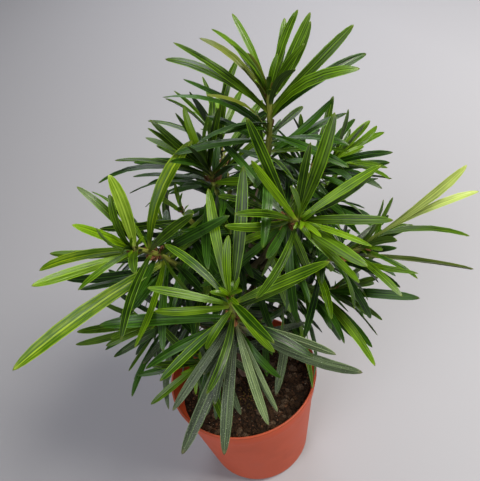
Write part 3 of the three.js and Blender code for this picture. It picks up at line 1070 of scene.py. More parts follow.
def linear(code: str) -> tuple[float, float, float, float]:
    """Turns an sRGB colour into a linear one.

    Args:
        code: the colour in hex, such as b8583a.

    Returns:
        Its linear red, green and blue, and an alpha of one.
    """
    shares = [int(code[i : i + 2], 16) / 255 for i in (0, 2, 4)]
    red, green, blue = (s / 12.92 if s <= 0.04045 else ((s + 0.055) / 1.055) ** 2.4 for s in shares)
    return red, green, blue, 1.0


Socket = bpy.types.NodeSocket
Key = Union[str, int]
# Sockets of the Mix node when it mixes colours, and what makes it do so.
MIX_A, MIX_B, MIX_RESULT = 6, 7, 2
COLOURS = {"data_type": "RGBA"}
FLAT = {"noise_dimensions": "2D"}


class Shading:
    """A material that is being made: its node tree and its Principled shader."""

    def __init__(self, name: str) -> None:
        """Starts a new material.

        Args:
            name: the material's name.
        """
        self.material = bpy.data.materials.new(name)
        self.material.use_nodes = True
        self.tree = self.material.node_tree
        self.shader = self.tree.nodes["Principled BSDF"]

    def add(
        self, kind: str, settings: Union[dict, None] = None, links: Union[dict, None] = None, result: Key = 0
    ) -> Socket:
        """Adds a node with its settings and its links.

        Args:
            kind: the node's type name after ShaderNode.
            settings: values by socket name, socket number or property name.
            links: source sockets by socket name or number.
            result: name or number of the output that is wanted.

        Returns:
            That output.
        """
        made = self.tree.nodes.new(f"ShaderNode{kind}")
        for name, value in (settings or {}).items():
            if isinstance(name, int) or name in made.inputs:
                made.inputs[name].default_value = value
            else:
                setattr(made, name, value)
        for name, source in (links or {}).items():
            self.tree.links.new(source, made.inputs[name])
        return made.outputs[result]

    def weighted(self, bias: float, *terms: tuple[float, Socket]) -> Socket:
        """Adds up sources by their weights and keeps the sum between 0 and 1.

        Args:
            bias: what is added to the sum.
            terms: each weight with its source.

        Returns:
            The sum.
        """
        links = {}
        for number, (weight, source) in enumerate(terms):
            settings = {"operation": "MULTIPLY_ADD", 1: weight, "use_clamp": number == len(terms) - 1}
            if not links:
                settings[2] = bias
            links = {2: self.add("Math", settings, {0: source, **links})}
        return links[2]

    def finish(self, **values: Union[float, Socket]) -> bpy.types.Material:
        """Sets the shader's sockets.

        Args:
            values: a number or a source for each socket, by its name in lower case with underscores.

        Returns:
            The finished material.
        """
        sockets = {socket.name.lower().replace(" ", "_"): socket for socket in self.shader.inputs}
        for name, value in values.items():
            if isinstance(value, Socket):
                self.tree.links.new(value, sockets[name])
            else:
                sockets[name].default_value = value
        return self.material


@dataclass(frozen=True)
class LeafFinish:
    """The leathery strap leaf of one tint: a waxed cuticle over lengthwise veins.

    The blade is darker in the grooves beside its midrib and towards its edge, as painted shade, and paler on
    the midrib, and at its edge partly as a painted highlight.
    """

    tint: Tint
    deep: str
    pale: str
    tip: str
    under: str
    roughness: float
    streaks: float
    rib: float = 0.3
    bloom: float = 0.0
    rise: float = 0.05
    specular: float = 0.3
    # How pale the edge is: partly its own colour, partly a painted highlight.
    pale_edge_and_highlight: float = 0.95
    dust: str = "b9c2ad"
    dry_tip: float = 0.35
    tip_from: float = 0.95
    pale_root: float = 0.6
    root_until: float = 0.11
    vein_gap: float = 0.95
    vein_relief: float = 0.1
    vein_wander: float = 9.0
    patches_per_mm: float = 0.11
    specks_per_mm: float = 1.6
    tone_weight: float = 0.65
    painted_light_band_weight: float = 1.15
    patch_weight: float = 0.6
    darkening: float = 0.51
    streak_strength: tuple[float, float] = (0.4, 2.0)
    root_from: float = 0.02
    gloss_spread: tuple[float, float] = (-0.08, 0.12)
    wander_per_mm: Triple = (0.5, 0.04, 1)
    grain_per_mm: Triple = (3.2, 0.05, 1)
    vein_bias: float = -0.42
    line_weight: float = 0.14
    grain_weight: float = 1.7

    def build(self) -> list[bpy.types.Material]:
        """The materials of the waxed upper face and of the duller underside, in that order."""
        under = LeafFinish(self.tint, self.deep, self.under, self.tip, self.under, 0.6, 0.4, 0.1)
        return [self._face(f"waxed_leaf_{self.tint.value}"), under._face(f"leaf_underside_{self.tint.value}")]

    def _face(self, name: str) -> bpy.types.Material:
        """Makes the material of one face.

        Args:
            name: the material's name.

        Returns:
            The material.
        """
        shading = Shading(name)
        add = shading.add
        blade = add("UVMap", {"uv_map": "blade"})
        place = add("UVMap", {"uv_map": "place"})
        tone = add("Attribute", {"attribute_name": "tone"}, result="Fac")
        across = add("SeparateXYZ", links={"Vector": place})
        along = across.node.outputs["Y"]
        veins = self._veins(shading, blade)
        patches = add("TexNoise", {**FLAT, "Scale": self.patches_per_mm, "Detail": 2.0}, {"Vector": blade})
        # Across the blade: painted shade in the grooves and near the edge, and a painted highlight at the
        # edge.
        bands = self._painted_light_bands(shading, across)
        strong = {"To Min": self.streak_strength[0], "To Max": self.streak_strength[1]}
        strength = add("MapRange", strong, {"Value": tone})
        # The vein lines pale the colour partly as painted sheen, the lit streaks along the blade.
        centred = add("Math", {"operation": "SUBTRACT", 1: 0.5}, {0: veins})
        streaks = add("Math", {"operation": "MULTIPLY"}, {0: centred, 1: strength})
        share = shading.weighted(
            -0.5 * self.rise - self.darkening,
            (self.tone_weight, tone),
            (self.streaks, streaks),
            (self.painted_light_band_weight, bands),
            (self.rise, along),
            (self.patch_weight, patches),
        )
        ends = {MIX_A: linear(self.deep), MIX_B: linear(self.pale)}
        shade = add("Mix", {**COLOURS, **ends}, {0: share}, MIX_RESULT)
        near_tip = {"From Min": self.tip_from, "From Max": 1.0, "To Max": self.dry_tip}
        near_root = {"From Min": self.root_until, "From Max": self.root_from, "To Max": self.pale_root}
        dry, young = (add("MapRange", near, {"Value": along}) for near in (near_tip, near_root))
        faded = shading.weighted(0.0, (1.0, dry), (1.0, young))
        shade = add("Mix", {**COLOURS, MIX_B: linear(self.tip)}, {0: faded, MIX_A: shade}, MIX_RESULT)
        if self.bloom:
            shade = self._dusted(shading, blade, shade)
        gloss = {f"To {end}": self.roughness + off for end, off in zip(("Min", "Max"), self.gloss_spread)}
        relief = {"Strength": 0.6, "Distance": self.vein_relief * MM}
        return shading.finish(
            base_color=shade,
            roughness=add("MapRange", gloss, {"Value": patches}),
            normal=add("Bump", relief, {"Height": veins}),
            ior=1.45,
            specular_ior_level=self.specular,
        )

    def _veins(self, shading: Shading, blade: Socket) -> Socket:
        """Draws the veins as pale lines that wander a little and fade in and out, partly a painted sheen of
        lit streaks.

        Args:
            shading: the material.
            blade: the leaf's coordinates in millimetres.

        Returns:
            The veins from 0 to 1.
        """
        add = shading.add
        drift = add("Mapping", {"Scale": self.wander_per_mm}, {"Vector": blade})
        wander = add("TexNoise", {**FLAT, "Scale": 1.0}, {"Vector": drift})
        sides = add("SeparateXYZ", links={"Vector": blade})
        bent = add("Math", {"operation": "MULTIPLY", 1: self.vein_wander}, {0: wander})
        turns = {"operation": "MULTIPLY_ADD", 1: math.tau / self.vein_gap}
        lines = add("Math", {"operation": "SINE"}, {0: add("Math", turns, {0: sides, 2: bent})})
        fine = add("Mapping", {"Scale": self.grain_per_mm}, {"Vector": blade})
        grain = add("TexNoise", {**FLAT, "Scale": 1.0, "Detail": 2.0, "Roughness": 0.6}, {"Vector": fine})
        return shading.weighted(self.vein_bias, (self.line_weight, lines), (self.grain_weight, grain))

    def _painted_light_bands(self, shading: Shading, across: Socket) -> Socket:
        """Draws the pale midrib, the groove beside it darkened as painted shade, the half of the blade with
        painted shade towards its edge, and the paler edge, partly its own colour and partly a painted
        highlight.

        Args:
            shading: the material.
            across: place across the leaf, from -1 to 1.

        Returns:
            How pale the band is.
        """
        off_rib = shading.add("Math", {"operation": "ABSOLUTE"}, {0: across})
        bands = shading.add("ValToRGB", links={"Fac": off_rib})
        # The groove stop and the stop near the edge are painted shade, and the edge stop is partly a painted
        # highlight.
        stops = ((0.07, 0.5 + self.rib), (0.17, 0.0), (0.45, 0.34), (0.8, 0.06), (0.91, self.pale_edge_and_highlight))
        elements = bands.node.color_ramp.elements
        for number, (place, value) in enumerate(stops):
            element = elements[number] if number < 2 else elements.new(place)
            element.position = place
            element.color = (value, value, value, 1)
        return bands

    def _dusted(self, shading: Shading, blade: Socket, shade: Socket) -> Socket:
        """Adds the pale bloom and the dried water specks of an old leaf.

        Args:
            shading: the material.
            blade: the leaf's coordinates in millimetres.
            shade: the leaf's colour so far.

        Returns:
            The dusted colour.
        """
        grain = {**FLAT, "Scale": self.specks_per_mm, "Detail": 3.0, "Roughness": 0.8}
        specks = shading.add("TexNoise", grain, {"Vector": blade})
        spread = {"From Min": 0.63, "From Max": 0.71, "To Min": 0.05 * self.bloom, "To Max": self.bloom}
        share = shading.add("MapRange", spread, {"Value": specks})
        return shading.add("Mix", {**COLOURS, MIX_B: linear(self.dust)}, {0: share, MIX_A: shade}, MIX_RESULT)


LEAF_FINISHES = (
    LeafFinish(Tint.LIME, "4c5c22", "aabc5c", "c6d07c", "84944a", 0.4, 0.4, 0.2, 0, 0.6, 0.3, 0.5),
    LeafFinish(Tint.PALE, "52700c", "9cb844", "b8c86c", "8ca848", 0.38, 0.4, 0.15, 0, 0.05, 0.22, 0.45),
    LeafFinish(Tint.BRIGHT, "345400", "90a818", "a8b448", "789034", 0.36, 0.5, 0.12, 0, 0.05, 0.22, 0.5),
    LeafFinish(Tint.FRESH, "183a00", "6e920c", "909434", "5e7c28", 0.31, 0.42, 0.15, specular=0.28),
    LeafFinish(Tint.GREEN, "0f2400", "5a7e0e", "7c8430", "486222", 0.29, 0.42, 0.2, specular=0.28),
    LeafFinish(Tint.DEEP, "051800", "386012", "646e28", "2e4814", 0.29, 0.5, 0.22, specular=0.25),
    LeafFinish(Tint.OLIVE, "2c3e04", "667020", "7c7c38", "68702e", 0.38, 0.5, 0.2),
    LeafFinish(Tint.OLD, "101e0a", "4c5e3a", "8a8450", "3a4e26", 0.36, 0.8, 0.3, 0.6),
    LeafFinish(Tint.DUSTY, "20360e", "6e8052", "8a8450", "4a6030", 0.4, 0.7, 0.3, 0.6),
    LeafFinish(Tint.SCALE, "3c2412", "9a6a46", "5c3c24", "7a5836", 0.6, 0.4, 0.1),
)


@dataclass(frozen=True)
class BarkFinish:
    """Thin bark with shallow lengthwise cracks, from pinkish brown wood to a green young shoot."""

    name: str
    dark: str
    pale: str
    roughness: float
    crack_gap: float
    crack_run: float
    relief: float

    def build(self) -> bpy.types.Material:
        """Makes the material.

        Returns:
            The bark material.
        """
        shading = Shading(self.name)
        add = shading.add
        skin = add("UVMap", {"uv_map": "skin"})
        placed = add("Mapping", {"Scale": (1 / self.crack_gap, 1 / self.crack_run, 1)}, {"Vector": skin})
        cracked = {**FLAT, "Scale": 1.0, "Detail": 5.0, "Roughness": 0.65, "Distortion": 0.4}
        cracks = add("TexNoise", cracked, {"Vector": placed})
        patches = add("TexNoise", {**FLAT, "Scale": 0.16, "Detail": 3.0}, {"Vector": skin})
        spread = add("Math", {"operation": "MULTIPLY_ADD", 1: 1.6, 2: -0.8}, {0: cracks})
        share = add("Math", {"operation": "ADD", "use_clamp": True}, {0: spread, 1: patches})
        ends = {MIX_A: linear(self.dark), MIX_B: linear(self.pale)}
        relief = {"Strength": 0.7, "Distance": self.relief * MM}
        return shading.finish(
            base_color=add("Mix", {**COLOURS, **ends}, {0: share}, MIX_RESULT),
            normal=add("Bump", relief, {"Height": cracks}),
            roughness=self.roughness,
        )


TRUNK_BARK = BarkFinish("pinkish_trunk_bark", "4c3930", "9a8170", 0.85, 1.1, 7.0, 0.12)
BOUGH_BARK = BarkFinish("young_bough_bark", "3d3a20", "7d7348", 0.75, 0.9, 8.0, 0.1)
GREEN_SHOOT = BarkFinish("green_shoot", "465218", "8e923a", 0.5, 0.7, 5.0, 0.08)


@dataclass(frozen=True)
class PotFinish:
    """Injection-moulded polypropylene, dyed through: matte, with faint flow marks and a rim darkened brown,
    partly by peat dust and partly as painted shade over its highlight.
    """

    name: str = "terracotta_polypropylene"
    dark: str = "b84622"
    pale: str = "d6572c"
    rim_soil_and_shade: str = "6a3420"
    # Darker brown near the rim: partly peat dust, partly painted shade that tones down the rim's highlight.
    roughness: float = 0.52
    gloss_spread: tuple[float, float] = (-0.06, 0.08)
    rim_height: float = POT.height
    flow_size: float = 28.0
    grain_size: float = 0.5
    grain_relief: float = 0.04
    rim_soil_and_shade_depth: float = 2.6
    rim_soil_and_shade_through: float = 0.2
    rim_soil_and_shade_share: float = 0.62

    def build(self) -> bpy.types.Material:
        """Makes the material.

        Returns:
            The pot's material.
        """
        shading = Shading(self.name)
        add = shading.add
        place = add("TexCoord", result="Object")
        flowing = {"Scale": 1 / (self.flow_size * MM), "Detail": 3.0, "Roughness": 0.6}
        flow = add("TexNoise", flowing, {"Vector": place})
        grain = add("TexNoise", {"Scale": 1 / (self.grain_size * MM), "Detail": 2.0}, {"Vector": place})
        ends = {MIX_A: linear(self.dark), MIX_B: linear(self.pale)}
        shade = add("Mix", {**COLOURS, **ends}, {0: flow}, MIX_RESULT)
        height = add("SeparateXYZ", links={"Vector": place}, result="Z")
        # Painted shade: the band under the rim turns darker brown, partly as peat dust and partly to tone
        # down its highlight.
        low = (self.rim_height - self.rim_soil_and_shade_depth) * MM
        high = (self.rim_height - self.rim_soil_and_shade_through) * MM
        reach = {"From Min": low, "From Max": high, "To Max": self.rim_soil_and_shade_share}
        near_rim = add("MapRange", reach, {"Value": height})
        rim_soil_and_shade_share = shading.weighted(-0.5, (1.0, flow), (1.0, near_rim))
        rim_soil_and_shade_mix = {**COLOURS, MIX_B: linear(self.rim_soil_and_shade)}
        gloss = {f"To {end}": self.roughness + off for end, off in zip(("Min", "Max"), self.gloss_spread)}
        relief = {"Strength": 0.25, "Distance": self.grain_relief * MM}
        return shading.finish(
            base_color=add("Mix", rim_soil_and_shade_mix, {0: rim_soil_and_shade_share, MIX_A: shade}, MIX_RESULT),
            roughness=add("MapRange", gloss, {"Value": flow}),
            normal=add("Bump", relief, {"Height": grain}),
            ior=1.49,
            specular_ior_level=0.35,
        )


@dataclass(frozen=True)
class EarthFinish:
    """Crumbly matter: peat, bark bits, mineral grains or dry moss, rough and without gloss."""

    name: str
    dark: str
    pale: str
    grain: float
    roughness: float = 0.95

    def build(self) -> bpy.types.Material:
        """Makes the material.

        Returns:
            The earthy material.
        """
        shading = Shading(self.name)
        add = shading.add
        place = add("TexCoord", result="Object")
        grainy = {"Scale": 1 / (self.grain * MM), "Detail": 4.0, "Roughness": 0.7}
        grains = add("TexNoise", grainy, {"Vector": place})
        contrast = add("MapRange", {"From Min": 0.35, "From Max": 0.68}, {"Value": grains})
        ends = {MIX_A: linear(self.dark), MIX_B: linear(self.pale)}
        relief = {"Strength": 0.8, "Distance": 0.3 * self.grain * MM}
        return shading.finish(
            base_color=add("Mix", {**COLOURS, **ends}, {0: contrast}, MIX_RESULT),
            normal=add("Bump", relief, {"Height": grains}),
            roughness=self.roughness,
            specular_ior_level=0.2,
        )


@dataclass(frozen=True)
class FloorFinish:
    """The floor, a little darker on the left: painted shade where the lamps' light falls off."""

    # The dark end is painted shade, on the left.
    dark: str = "7a7a7d"
    pale: str = "b6b6bb"

    def build(self) -> bpy.types.Material:
        """Makes the material.

        Returns:
            The floor's material.
        """
        shading = Shading("painted_floor")
        add = shading.add
        place = add("TexCoord", result="Object")
        # Painted shade: the colour runs from dark at the left to pale at the right, as the lamps' light
        # would.
        sideways = {"operation": "DOT_PRODUCT", 1: (1.0, 0.3, 0.0)}
        shade_slope = add("VectorMath", sideways, {0: place}, "Value")
        share = add("MapRange", {"From Min": -0.4, "From Max": 0.5}, {"Value": shade_slope})
        ends = {MIX_A: linear(self.dark), MIX_B: linear(self.pale)}
        shade = add("Mix", {**COLOURS, **ends}, {0: share}, MIX_RESULT)
        return shading.finish(base_color=shade, roughness=0.8)


# ------------------------------------------------------------------ making pieces


def add_object(name: str, data: Union[bpy.types.ID, None]) -> bpy.types.Object:
    """Puts a new object into the scene.

    Args:
        name: the object's name.
        data: its mesh, lamp or camera.

    Returns:
        The object.
    """
    made = bpy.data.objects.new(name, data)
    bpy.context.scene.collection.objects.link(made)
    return made


def finish_piece(
    mesh: bpy.types.Mesh, name: str, materials: Sequence[bpy.types.Material], nodes: Sequence[str]
) -> bpy.types.Object:
    """Turns a mesh into a piece that rides on the plant and stands for solids.

    Args:
        mesh: the finished mesh, in metres.
        name: the piece's name.
        materials: its materials in slot order.
        nodes: the solids that it stands for.

    Returns:
        The piece.
    """
    for material in materials:
        mesh.materials.append(material)
    piece = add_object(name, mesh)
    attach(piece, "root")
    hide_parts(*nodes)
    LOG.info("%s: %d faces", name, len(mesh.polygons))
    return piece


def mesh_of(shape: bmesh.types.BMesh, name: str) -> bpy.types.Mesh:
    """Writes a bmesh to a new smooth mesh and frees it.

    Args:
        shape: the bmesh.
        name: the mesh's name.

    Returns:
        The mesh.
    """
    mesh = bpy.data.meshes.new(name)
    shape.to_mesh(mesh)
    shape.free()
    mesh.polygons.foreach_set("use_smooth", [True] * len(mesh.polygons))
    return mesh


def joined_mesh(name: str, points: list[Array], faces: list[list[int]], kinds: Array) -> bpy.types.Mesh:
    """Joins many small shapes into one mesh.

    Args:
        name: the mesh's name.
        points: the corners of each shape, in millimetres.
        faces: the corners of each face, counted through all the shapes.
        kinds: the material slot of each face.

    Returns:
        The mesh, in metres.
    """
    mesh = bpy.data.meshes.new(name)
    mesh.from_pydata((np.vstack(points) * MM).tolist(), [], faces)
    mesh.polygons.foreach_set("material_index", kinds)
    return mesh


def lathe(profile: Sequence[tuple[float, float]], turns: int, scale: float) -> bmesh.types.BMesh:
    """Turns a profile round +Z.

    Args:
        profile: radius and height of each corner, in millimetres.
        turns: faces round the shape.
        scale: the shape's unit over a millimetre.

    Returns:
        The turned shape.
    """
    shape = bmesh.new()
    line = [shape.verts.new((radius * scale, 0, height * scale)) for radius, height in profile]
    edges = [shape.edges.new(pair) for pair in zip(line, line[1:])]
    turn = {"cent": (0, 0, 0), "axis": (0, 0, 1), "angle": math.tau, "steps": turns, "use_merge": True}
    bmesh.ops.spin(shape, geom=line + edges, **turn)
    bmesh.ops.remove_doubles(shape, verts=shape.verts, dist=0.01 * scale)
    return shape


def apart(angle: float, other: float) -> float:
    """The turn from one angle to another, from -pi to pi."""
    return (angle - other + math.pi) % math.tau - math.pi


Radius = Callable[[float, float], float]


def tube(curve: Curve, radius: Radius, sides: int, rings: int) -> bmesh.types.BMesh:
    """Makes a round limb along a curve, closed at both ends, with its skin laid out in millimetres.

    Args:
        curve: the limb's axis.
        radius: radius at a share of the length and an angle round it.
        sides: faces round the limb.
        rings: faces along it.

    Returns:
        The limb's shape.
    """
    shape = bmesh.new()
    half_up = Matrix.Translation((0, 0, 0.5))
    unit_size = {"radius1": 1.0, "radius2": 1.0, "depth": 1.0}
    bmesh.ops.create_cone(shape, cap_ends=True, segments=sides, matrix=half_up, **unit_size)
    upright = [edge for edge in shape.edges if abs(edge.verts[0].co.z - edge.verts[1].co.z) > 0.5]
    bmesh.ops.subdivide_edges(shape, edges=upright, cuts=rings - 1)
    skin = shape.loops.layers.uv.new("skin")
    length = curve.length()
    girth = math.tau * radius(0.5, 0)
    for face in shape.faces:
        angles = [math.atan2(loop.vert.co.y, loop.vert.co.x) % math.tau for loop in face.loops]
        wraps = max(angles) - min(angles) > math.pi
        for loop, angle in zip(face.loops, angles):
            around = angle + math.tau if wraps and angle < math.pi else angle
            loop[skin].uv = (girth * around / math.tau, length * loop.vert.co.z)
    frames: dict[float, tuple[Array, Array, Array]] = {}
    for vertex in shape.verts:
        share = round(vertex.co.z, 5)
        if share not in frames:
            _, first, second = curve.across(share)
            frames[share] = (curve.point(share), first, second)
        middle, first, second = frames[share]
        angle = math.atan2(vertex.co.y, vertex.co.x)
        reach = radius(share, angle)
        place = middle + (first * math.cos(angle) + second * math.sin(angle)) * reach
        vertex.co = Vector(place * MM)
    bmesh.ops.recalc_face_normals(shape, faces=shape.faces)
    return shape


@dataclass(frozen=True)
class LeafHabit:
    """How one leaf is folded, twisted, bowed, curled, rippled and toned."""

    fold: float
    twist: float
    bow: float
    curl: float
    tone: float
    phase: float
    waist: float = 1.0
    waist_until: float = 0.8
    curl_from: float = 0.55
    ripple: float = 0.05
    waves: float = 2.5
    thickness: float = 0.5
    full_keel: float = 0.8

    @staticmethod
    def drawn(random: Stream, tint: Tint) -> LeafHabit:
        """Draws a habit for a leaf of a tint.

        Args:
            random: the stream of draws.
            tint: the leaf's tint.

        Returns:
            The habit.
        """
        young = tint in (Tint.LIME, Tint.PALE, Tint.BRIGHT)
        return LeafHabit(
            fold=random.between(0.3, 0.5) if young else random.between(-0.25, 0.4),
            twist=math.radians(random.between(-30, 30)),
            bow=random.between(-0.03, 0.03),
            curl=random.between(-0.06, 0.26),
            tone=random.between(0.0, 1.0),
            phase=random.between(0, math.tau),
            waist=0.22 if tint is Tint.LIME else 1.0,
        )


class LeafMesh:
    """Many leaves joined in one mesh, each a copy of one blade of rings that taper to its tip.

    A ring has its midrib on top, a groove at either side of it, the two halves of the blade, the
    edges, and the keel of the midrib underneath.
    """

    STATIONS = (0, 0.05, 0.13, 0.25, 0.4, 0.57, 0.73, 0.86, 0.94, 0.982, 1)
    ACROSS = (0, 0.13, 0.55, 1, 0, -1, -0.55, -0.13)
    RISE = (0.07, -0.03, 0.07, -0.05, 0, -0.05, 0.07, -0.03)
    KEEL = 4
    EDGES = (3, 5)
    BLADE, UNDER, KINDS = 0, 1, 2
    LAYOUT_STEP = 210.0

    def __init__(self) -> None:
        """Makes the blade that is copied."""
        count = len(self.ACROSS)
        last = len(self.STATIONS) - 1
        shape = bmesh.new()
        bmesh.ops.create_circle(shape, cap_ends=True, segments=count, radius=1.0)
        loop = list(shape.edges)
        for _ in range(last):
            made = bmesh.ops.extrude_edge_only(shape, edges=loop)["geom"]
            fresh = [item for item in made if isinstance(item, bmesh.types.BMVert)]
            bmesh.ops.translate(shape, verts=fresh, vec=(0, 0, 1))
            loop = [e for e in made if isinstance(e, bmesh.types.BMEdge) and all(v in fresh for v in e.verts)]
        bmesh.ops.pointmerge(shape, verts=fresh, merge_co=(0, 0, last))
        bmesh.ops.recalc_face_normals(shape, faces=shape.faces)
        shape.verts.index_update()
        points = np.array([vertex.co for vertex in shape.verts])
        angles = np.arctan2(points[:, 1], points[:, 0]) / math.tau * count
        self.places = np.round(angles).astype(int) % count
        self.rings = np.round(points[:, 2]).astype(int)
        self.faces = [[vertex.index for vertex in face.verts] for face in shape.faces]
        self.kinds = np.array([self._kind(face) for face in self.faces])
        shape.free()
        self.shares = np.array(self.STATIONS)[self.rings]
        self.across = np.array(self.ACROSS)[self.places]
        self.rise = np.array(self.RISE)[self.places]
        self.widths = np.array([LEAF.outline(share) for share in self.shares])
        self.keel = self.places == self.KEEL

    def _kind(self, face: list[int]) -> int:
        """Which side of the leaf a face is on, BLADE or UNDER, by its vertices' numbers."""
        places = {int(self.places[index]) for index in face if self.rings[index] < len(self.STATIONS) - 1}
        return self.UNDER if self.KEEL in places else self.BLADE

    def points(self, leaf: Leaf, habit: LeafHabit) -> Array:
        """Lays the blade's vertices on one leaf.

        Args:
            leaf: the leaf's spine, side and width.
            habit: how it is folded, twisted, bowed and curled.

        Returns:
            One point for each vertex, in millimetres.
        """
        share = self.shares[:, None]
        rest = 1 - share
        middle = leaf.spine(share)
        along = (leaf.bend - leaf.root) * 2 * rest + (leaf.tip - leaf.bend) * 2 * share
        along = along / np.linalg.norm(along, axis=1, keepdims=True)
        face = np.cross(np.broadcast_to(leaf.side, along.shape), along)
        twist = habit.twist * np.sin(math.pi * share * 0.5) ** 2
        side = leaf.side * np.cos(twist) + face * np.sin(twist)
        face = np.cross(side, along)
        face /= np.linalg.norm(face, axis=1, keepdims=True)
        length = leaf.length
        sway = 4 * share * rest * habit.bow * length
        curl = habit.curl * length * np.maximum(0, share - habit.curl_from) ** 2
        waist = habit.waist + (1 - habit.waist) * np.clip(self.shares / habit.waist_until, 0, 1) ** 2
        half = (leaf.half_width * self.widths * waist)[:, None]
        across = self.across[:, None]
        ripple = habit.ripple * np.sin(share * math.tau * habit.waves + habit.phase) * np.abs(across)
        lift = self.rise[:, None] + habit.fold * np.abs(across) + ripple * np.sign(across)
        depth = np.where(self.keel, habit.thickness, 0)[:, None] * np.minimum(1, half / habit.full_keel)
        return middle + side * (across * half + sway) + face * (lift * half - depth - curl)

    def join(
        self, name: str, leaves: Sequence[tuple[Leaf, LeafHabit]], slots: dict[Tint, int]
    ) -> bpy.types.Mesh:
        """Joins leaves into one mesh with each leaf's tone and two layouts.

        The layout blade is in millimetres, and place runs from -1 to 1 across and 0 to 1 along.

        Args:
            name: the mesh's name.
            leaves: each leaf with its habit.
            slots: the first of the two material slots of each tint.

        Returns:
            The mesh, in metres.
        """
        size = len(self.places)
        points, in_mm, tones, kinds = [], [], [], []
        for number, (leaf, habit) in enumerate(leaves):
            points.append(self.points(leaf, habit))
            half = leaf.half_width * self.widths
            shift = self.LAYOUT_STEP * number
            in_mm.append(np.stack([self.across * half + shift, self.shares * leaf.length + shift], 1))
            tones.append(np.full(size, habit.tone))
            kinds.append(self.kinds + slots[leaf.tint])
        faces = [[index + size * k for index in face] for k in range(len(leaves)) for face in self.faces]
        mesh = joined_mesh(name, points, faces, np.concatenate(kinds))
        corners = np.zeros(len(mesh.loops), int)
        mesh.loops.foreach_get("vertex_index", corners)
        whole = np.tile(np.stack([self.across, self.shares], 1), (len(leaves), 1))
        for layer, layout in (("blade", np.vstack(in_mm)), ("place", whole)):
            mesh.uv_layers.new(name=layer).data.foreach_set("uv", layout[corners].ravel())
        tone = mesh.attributes.new("tone", "FLOAT", "POINT")
        tone.data.foreach_set("value", np.concatenate(tones))
        mesh.polygons.foreach_set("use_smooth", [True] * len(mesh.polygons))
        ends = np.zeros(2 * len(mesh.edges), int)
        mesh.edges.foreach_get("vertices", ends)
        places = self.places[ends.reshape(-1, 2) % size]
        sharp = (places[:, 0] == places[:, 1]) & np.isin(places[:, 0], self.EDGES)
        marks = mesh.attributes.new("sharp_edge", "BOOLEAN", "EDGE")
        marks.data.foreach_set("value", sharp)
        mesh.update()
        return mesh


# ------------------------------------------------------------------ sub-assemblies


@dataclass(frozen=True)
class Tuft:
    """Small leaves or scales that stand round a place on a stem."""

    count: int
    at: float
    reach: float
    spread: tuple[float, float]
    length: tuple[float, float]
    breadth: float
    standoff: float
    arch: float
    tint: Tint


TUFTS = (
    Tuft(4, 0.96, 0.03, (15, 45), (7, 19), 0.07, 0.0, 0.12, Tint.FRESH),
    Tuft(3, 0.93, 0.04, (35, 70), (4, 10), 0.11, 0.6, 0.2, Tint.FRESH),
    Tuft(7, 0.985, 0.015, (25, 60), (2.2, 3.6), 0.2, 0.4, -0.1, Tint.SCALE),
    Tuft(14, 0.64, 0.3, (8, 22), (2.4, 4.6), 0.17, 1.0, -0.08, Tint.SCALE),
)
BUD_RING = Tuft(14, 0.54, 0.03, (30, 85), (2.8, 6.2), 0.2, 0.9, -0.12, Tint.SCALE)


